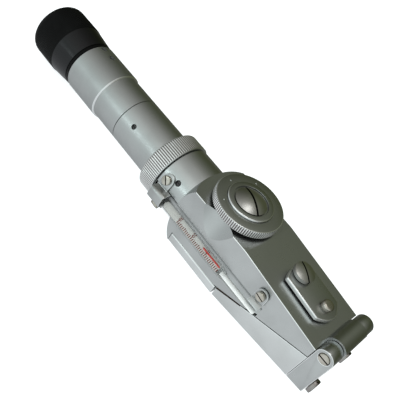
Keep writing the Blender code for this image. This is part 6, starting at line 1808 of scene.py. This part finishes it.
@dataclass(frozen=True)
class Thermometer:
    """Glass tube with its scale, its red column and its stem.

    The funnel is runs from the tube's end with radii, and the column's tip is
    runs with shares of its radius.
    """

    side: float = -16.8
    height: float = -1.15
    start: float = 3.6
    length: float = 45.2
    radius: float = 2.45
    wall: float = 0.35
    funnel: Outline = ((0.0, 2.45), (0.9, 2.205), (1.6, 2.15), (2.2, 1.75), (2.2, 1.4),
                       (1.5, 1.75), (0.8, 1.8375), (0.0, 2.1))
    stem: float = 1.1
    stem_end: float = 69.8
    stem_round: float = 0.8
    stem_angles: tuple[float, ...] = (0.35, 0.7, 1.05, 1.3)
    strip_half: float = 1.65
    strip_thickness: float = 0.5
    strip_back: float = 0.6
    strip_inset: float = 1.5
    strip_start: float = 10.3
    strip_edge: float = 0.1
    tilt: float = math.radians(44.4)
    column_length: float = 11.0
    column_radius: float = 0.35
    column_side: float = 0.7
    column_tip: Outline = ((0.0, 0.0), (0.08, 0.6), (0.3, 1.0))
    scale_start: float = 20.5
    scale_side: float = 0.95
    strokes: int = 30
    pitch: float = 0.92
    ink: float = 0.02
    digits: tuple[str, ...] = ("30", "20", "10")
    digit_height: float = 2.0
    digit_weight: float = 0.03

    @property
    def axis_start(self) -> Point:
        """Point of the tube's axis at distance zero."""
        return bench(0.0, self.side, self.height)

    @property
    def across(self) -> Vector:
        """Direction across the scale strip."""
        return Vector((0.0, math.cos(self.tilt), math.sin(self.tilt)))

    @property
    def face(self) -> Vector:
        """Direction out of the scale strip."""
        return Vector((0.0, -math.sin(self.tilt), math.cos(self.tilt)))

    def glass(self) -> Shape:
        """Tube with a round end and a drawn neck."""
        outer, inner = self.radius, self.radius - self.wall
        end = self.start + self.length
        centre = (self.start + outer, 0.0)
        profile = [(self.start, 0.0), *arc(centre, outer, 180.0, 90.0, 10)[1:]]
        profile += [(end + run, radius) for run, radius in self.funnel]
        profile += [*arc(centre, inner, 90.0, 180.0, 10)[:-1], (self.start + self.wall, 0.0)]
        return Shape.turned(profile, MIDDLE_ROUND, self.axis_start, ALONG)

    def dress(self, trees: Trees) -> None:
        """Makes the tube and what is in it."""
        self.glass().dress("thermometer_glass", Body.STILL, TUBE_GLASS, "thermometer_tube",
                           angle=60.0)
        end = self.start + self.length - self.strip_inset
        half = self.strip_half
        back = self.axis_start - self.face * self.strip_back
        outline = [back + ALONG * (self.strip_start + half - x) + self.across * y
                   for x, y in arc((0.0, 0.0), half, -90.0, 90.0, 24)]
        outline += [back + ALONG * end + self.across * side for side in (half, -half)]
        strip = Shape.extruded(outline, self.face * self.strip_thickness)
        strip.eased(self.strip_edge).dress("thermometer_strip", Body.STILL, MILK,
                                           "thermometer_scale")
        self.marks(trees)
        lift = self.strip_thickness - self.strip_back + GAP + self.column_radius
        place = self.axis_start + ALONG * (end - self.column_length)
        place += self.across * self.column_side + self.face * lift
        tip = [(run, share * self.column_radius) for run, share in self.column_tip]
        profile = tip + [(self.column_length - run, radius) for run, radius in reversed(tip)]
        Shape.turned(profile, TINY_ROUND, place, ALONG).dress(
            "red_column", Body.STILL, RED, "thermometer_column")
        stem_start = self.start + self.length + GAP
        stem, bend = self.stem, self.stem_round
        profile = [(stem_start, 0.0), (stem_start, stem), (self.stem_end - bend, stem)]
        profile += [(self.stem_end - bend + bend * math.sin(t), stem * math.cos(t))
                    for t in self.stem_angles]
        profile.append((self.stem_end, 0.0))
        Shape.turned(profile, SMALL_ROUND, self.axis_start, ALONG).dress(
            "thermometer_stem_white", Body.STILL, WHITE, "thermometer_stem")

    def marks(self, trees: Trees) -> None:
        """Strokes and plain numbers of the scale."""
        mesh = bmesh.new()
        mesh.verts.new((0.0, 0.0, 0.0))
        strokes = Shape(mesh)
        strokes.grown_by(trees.ladder, Count=self.strokes, Pitch=self.pitch, Stroke=0.38,
                         Short=1.4, Rise=2.0 * self.ink, Material=MARKS.material())
        lift = self.strip_thickness - self.strip_back + self.ink
        origin = self.axis_start + ALONG * self.scale_start + self.face * lift
        origin -= self.across * self.scale_side
        strokes.moved(seated(origin, ALONG, self.across, self.face))
        strokes.dress("scale_strokes", Body.STILL, MARKS)
        for number, text in enumerate(self.digits):
            self.number(text, self.scale_start + 10.0 * self.pitch * number, lift)

    def number(self, text: str, run: float, lift: float) -> None:
        """A plain number beside its stroke.

        Args:
            text: The digits.
            run: Distance of the stroke.
            lift: Height of the strip's face over the tube's axis.
        """
        curve = bpy.data.curves.new("digits", "FONT")
        curve.body = text
        curve.size = self.digit_height
        curve.offset = self.digit_weight
        curve.align_x = "CENTER"
        curve.align_y = "CENTER"
        curve.extrude = self.ink
        holder = placed("digits", curve)
        mesh = bmesh.new()
        mesh.from_mesh(evaluated(holder))
        bpy.data.objects.remove(holder)
        digits = Shape(mesh)
        origin = self.axis_start + ALONG * run + self.face * (lift + self.ink)
        origin += self.across * self.scale_side
        digits.moved(seated(origin, -self.across, ALONG, self.face))
        digits.dress(f"scale_number_{text}", Body.STILL, MARKS)


@dataclass(frozen=True)
class Clips:
    """Saddle clip on the neck and tab clip on the block's side, with their screws.

    The tab's steps go out from the side wall and up from its bend.
    """

    thermometer: Thermometer
    thickness: float = 0.8
    edge: float = 0.12
    foot_half: float = 3.0
    foot_tip: float = 3.2
    centre: float = 4.9
    upper_angle: float = math.radians(24.0)
    lower_angle: float = math.radians(-35.0)
    saddle_start: float = 2.4
    saddle_length: float = 7.8
    saddle_top: float = 2.1
    saddle_foot: float = -2.8
    corner: float = 0.8
    tab_centre: float = 67.25
    tab_radius: float = 2.9
    tab_screw: float = 8.3
    tab_bend: float = 3.9
    tab_steps: Outline = ((0.0, 0.5), (0.08, 0.15), (0.3, -0.1), (0.7, -0.3), (2.4, -1.6))
    tab_slot: float = 0.2
    screw: Screw = Screw(2.15, 1.3, 0.9, 3.0, slot=0.55, ease=0.16)

    @staticmethod
    def sections(path: Sequence[Pair], distance: float, low: float, high: float) -> list:
        """Strip stations of a path of (side, height), outward on its left."""
        points = [Vector(point) for point in path]
        stations = []
        for k, point in enumerate(points):
            run = (points[min(k + 1, len(points) - 1)] - points[max(k - 1, 0)]).normalized()
            stations.append((bench(distance, point.x, point.y), Vector((0.0, run.y, -run.x)),
                             ALONG, low, high))
        return stations

    def tip(self, reach: float, half: float, steps: int = 12) -> list[Pair]:
        """Runs from a rounded tip and the half widths there."""
        angles = [math.pi / 2.0 * k / steps for k in range(1, steps + 1)]
        return [(reach * math.cos(a), half * math.sin(a)) for a in angles]

    def foot(self, angle: float, turn: float, root_height: float) -> Shape:
        """Rounded foot on the neck.

        Args:
            angle: Its screw's angle above the side.
            turn: 1 for a foot that points up, and -1 down.
            root_height: Height at which it meets the saddle.

        Returns:
            The foot.
        """
        radius = NECK + GAP
        stations = []
        root = math.pi - math.asin(root_height / radius)
        middle = math.pi - angle
        rows = [(middle - turn * reach / radius, half)
                for reach, half in self.tip(self.foot_tip, self.foot_half)]
        rows += [(middle + (root - middle) * k / 4.0, self.foot_half) for k in range(1, 5)]
        for here, half in rows:
            stations.append((round_point(self.centre, radius, here), outward(here), ALONG,
                             -half, half))
        return Shape.strip(stations, self.thickness)

    def dress(self) -> None:
        """Makes both clips and their screws."""
        radius = NECK + GAP
        wall = self.thermometer.side - self.thermometer.radius - GAP
        corner = self.corner
        top, foot = self.saddle_top, self.saddle_foot
        path = [(-math.sqrt(radius ** 2 - top ** 2), top)]
        path += arc((wall + corner, top - corner), corner, 90.0, 180.0, 6)
        path += arc((wall + corner, foot + corner), corner, 180.0, 270.0, 6)
        path.append((-math.sqrt(radius ** 2 - foot ** 2), foot))
        low = self.saddle_start - self.centre
        saddle = Shape.strip(self.sections(path, self.centre, low, low + self.saddle_length),
                             self.thickness)
        saddle.join(self.foot(self.upper_angle, 1.0, top), self.foot(self.lower_angle, -1.0, foot))
        saddle.eased(self.edge, angle=40.0)
        saddle.dress("upper_clip_bent", Body.STILL, CAST_SATIN, "upper_clip", edge=POLISHED)
        for name, angle in (("upper", math.pi - self.upper_angle),
                            ("under", math.pi - self.lower_angle)):
            start = round_point(self.centre, radius + GAP + self.thickness, angle)
            axis = outward(angle)
            self.screw.shape(start, axis, ALONG + ALONG.cross(axis)).dress(
                f"clip_screw_{name}_slotted", Body.STILL, NICKEL, f"clip_screw_{name}",
                lining=SLOT_SHADE)
        self.tab()

    def tab(self) -> None:
        """Tab clip over the stem, with its screw."""
        wall = -(HALF_WIDTH + GAP)
        stations = []
        for reach, half in self.tip(self.tab_radius, self.tab_radius):
            stations.append((bench(self.tab_centre, wall, self.tab_screw + reach), -ASIDE,
                             ALONG, -half, half))
        path = [(wall, self.tab_screw)]
        path += [(wall - out, self.tab_bend + rise) for out, rise in self.tab_steps]
        stations = stations[:-1] + self.sections(path, self.tab_centre, -self.tab_radius,
                                                 self.tab_radius)
        clip = Shape.strip(stations, self.thickness)
        clip.eased(self.edge, angle=40.0)
        clip.dress("lower_clip_bent", Body.STILL, CAST_SATIN, "lower_clip", edge=POLISHED)
        start = bench(self.tab_centre, wall - GAP - self.thickness, self.tab_screw)
        self.screw.shape(start, -ASIDE, ALONG - self.tab_slot * UPWARD).dress(
            "clip_screw_stem_slotted", Body.STILL, NICKEL, "clip_screw_stem", lining=SLOT_SHADE)


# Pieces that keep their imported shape

@dataclass(frozen=True)
class Inner:
    """Finishes of the inner pieces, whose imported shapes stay."""

    finishes: tuple[tuple[Finish, tuple[str, ...]], ...] = (
        (GLASS, ("measuring_prism", "eye_lens", "field_lens", "objective_lens", "reticle",
                 "range_prism_1", "range_prism_2", "range_prism_3")),
        (ROUGH_GLASS, ("lighting_prism",)),
        (BRASS, ("prism_mask", "lid_mask", "reticle_cell", "knob_bush", "lens_cell",
                 "cell_ring")),
        (DARK, ("objective_cell", "range_drum")),
        (STEEL, ("range_shaft", "detent_ball", "detent_spring")),
        (NICKEL, ("drum_screw",)),
    )

    def dress(self) -> None:
        """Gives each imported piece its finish."""
        for finish, names in self.finishes:
            for name in names:
                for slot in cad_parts[name].material_slots:
                    slot.material = finish.material()
                LOG.info("%s: keeps its packed shape", name)


# Studio

@dataclass(frozen=True)
class Studio:
    """Pale floor, soft light and the camera."""

    camera_place: Colour = (0.05731, -0.17109, 0.18277)
    camera_right: Colour = (0.6092, 0.6769, 0.4131)
    camera_up: Colour = (-0.7319, 0.2795, 0.6214)
    lens: float = 51.13
    floor_half: float = 3.0
    floor_drop: float = 0.0004
    floor_glow: float = 0.85
    room: tuple[tuple[float, Colour], ...] = (
        (-180.0, (0.115, 0.12, 0.088)),
        (-150.0, (0.15, 0.155, 0.125)),
        (-120.0, (0.42, 0.435, 0.44)),
        (-90.0, (0.64, 0.67, 0.69)),
        (-41.0, (0.81, 0.85, 0.87)),
        (-16.0, (0.80, 0.86, 0.87)),
        (9.0, (0.86, 0.94, 0.945)),
        (34.0, (0.86, 0.97, 0.955)),
        (58.0, (0.83, 0.865, 0.845)),
        (83.0, (0.60, 0.61, 0.59)),
        (108.0, (0.33, 0.33, 0.30)),
        (132.0, (0.162, 0.174, 0.132)),
        (157.0, (0.076, 0.088, 0.040)),
        (180.0, (0.078, 0.088, 0.042)),
    )
    left: Pair = (-0.65, -0.1)
    shares: Pair = (0.78, 1.12)
    right: Pair = (0.05, 0.45)
    right_share: float = 0.8
    wall: Colour = (0.93, 0.94, 0.94)
    high: Pair = (0.15, 0.75)
    high_left: Pair = (-0.62, -0.3)
    high_share: float = 0.72

    def floor(self) -> None:
        """Plain pale floor under the object."""
        mesh = bmesh.new()
        half = self.floor_half
        mesh.faces.new([mesh.verts.new((x, y, -self.floor_drop))
                        for x, y in rectangle(-half, half, -half, half)])
        data = bpy.data.meshes.new("floor")
        mesh.to_mesh(data)
        mesh.free()
        floor = placed("floor", data)
        made = bpy.data.materials.new("pale_floor")
        made.use_nodes = True
        graph = Graph(made.node_tree)
        cloud = Pattern(graph).noise(6.0, 3.0)
        colour = graph.blend(cloud, (0.86, 0.87, 0.87), (0.89, 0.89, 0.89))
        shader = graph.add("ShaderNodeBsdfPrincipled",
                           {"Base Color": colour, "Roughness": 0.8,
                            "Emission Color": (0.95, 0.98, 1.0, 1.0),
                            "Emission Strength": self.floor_glow})[0]
        graph.add("ShaderNodeOutputMaterial", {"Surface": shader})
        data.materials.append(made)
        floor.visible_glossy = False

    def sky(self) -> None:
        """Room light, by the elevation over the front in degrees: bright low in front."""
        world = bpy.data.worlds.new("room")
        world.use_nodes = True
        bpy.context.scene.world = world
        graph = Graph(world.node_tree)
        way = graph.add("ShaderNodeTexCoord")["Generated"]
        axes = graph.add("ShaderNodeSeparateXYZ", {0: way})
        elevation = axes[2].angle_over(0.0 - axes[1])
        stops = [((degrees + 180.0) / 360.0, colour) for degrees, colour in self.room]
        colour = graph.add("ShaderNodeValToRGB", {0: elevation / TURN + 0.5},
                           stops=stops)["Color"]
        dim = axes[0].ramp(*self.high_left, 1.0 - self.high_share, 0.0)
        strength = ((1.0 - dim * axes[2].ramp(*self.high))
                    * axes[0].ramp(*self.left, *self.shares)
                    * axes[0].ramp(*self.right, 1.0, self.right_share))
        light = graph.add("ShaderNodeBackground", {"Color": colour, "Strength": strength})[0]
        wall = graph.add("ShaderNodeBackground", {"Color": (*self.wall, 1.0)})[0]
        seen = graph.add("ShaderNodeLightPath")["Is Camera Ray"]
        both = graph.add("ShaderNodeMixShader", {0: seen, 1: light, 2: wall})[0]
        graph.add("ShaderNodeOutputWorld", {"Surface": both})

    def lamp(self, name: str, place: Colour, target: Colour, size: float, power: float,
             colour: Colour = (1.0, 1.0, 1.0)) -> None:
        """Soft square light.

        Args:
            name: Its name.
            place: Its place in metres.
            target: Point that it faces.
            size: Side of the square in metres.
            power: Power in watts.
            colour: Its colour.
        """
        data = bpy.data.lights.new(name, "AREA")
        data.size = size
        data.energy = power
        data.color = colour
        lamp = placed(name, data)
        lamp.location = place
        way = Vector(target) - Vector(place)
        lamp.rotation_euler = way.to_track_quat("-Z", "Y").to_euler()

    def camera(self) -> None:
        """Camera at the picture's place."""
        data = bpy.data.cameras.new("camera")
        data.lens = self.lens
        data.sensor_width = 36.0
        data.clip_start = 0.01
        camera = placed("camera", data)
        right, up = Vector(self.camera_right), Vector(self.camera_up)
        camera.matrix_world = seated(self.camera_place, right, up, right.cross(up))
        bpy.context.scene.camera = camera

    def build(self) -> None:
        """Makes the whole stage."""
        bpy.context.scene.view_settings.view_transform = "Standard"
        self.floor()
        self.sky()
        middle = (-0.01, 0.0, 0.02)
        self.lamp("window", (-0.39, -0.76, 0.28), middle, size=0.13, power=0.2,
                  colour=(0.85, 1.0, 1.0))
        self.lamp("front", (-0.20, -0.50, 0.60), middle, size=0.42, power=0.12)
        self.lamp("zenith", (0.04, 0.08, 0.80), middle, size=0.25, power=0.5)
        self.camera()


def main() -> None:
    """Builds the stage and every piece, and reports each."""
    logging.basicConfig(level=logging.INFO, format="%(message)s")
    for obj in [o for o in bpy.data.objects if o.type in ("CAMERA", "LIGHT")]:
        bpy.data.objects.remove(obj)
    Studio().build()
    trees = Trees()
    seam, hinge = Seam(), Hinge()
    thermometer = Thermometer()
    builders: list[Callable[[], None]] = [
        Casting(seam, hinge).dress,
        lambda: BasePlate().dress(trees),
        Lid(seam, hinge).dress,
        lambda: hinge.dress(seam),
        Shutter(seam).dress,
        lambda: RangeKnob().dress(trees),
        lambda: Barrel().dress(trees),
        lambda: Eyepiece().dress(trees),
        lambda: thermometer.dress(trees),
        Clips(thermometer).dress,
        Inner().dress,
    ]
    for build in builders:
        build()


if __name__ == "__main__":
    main()
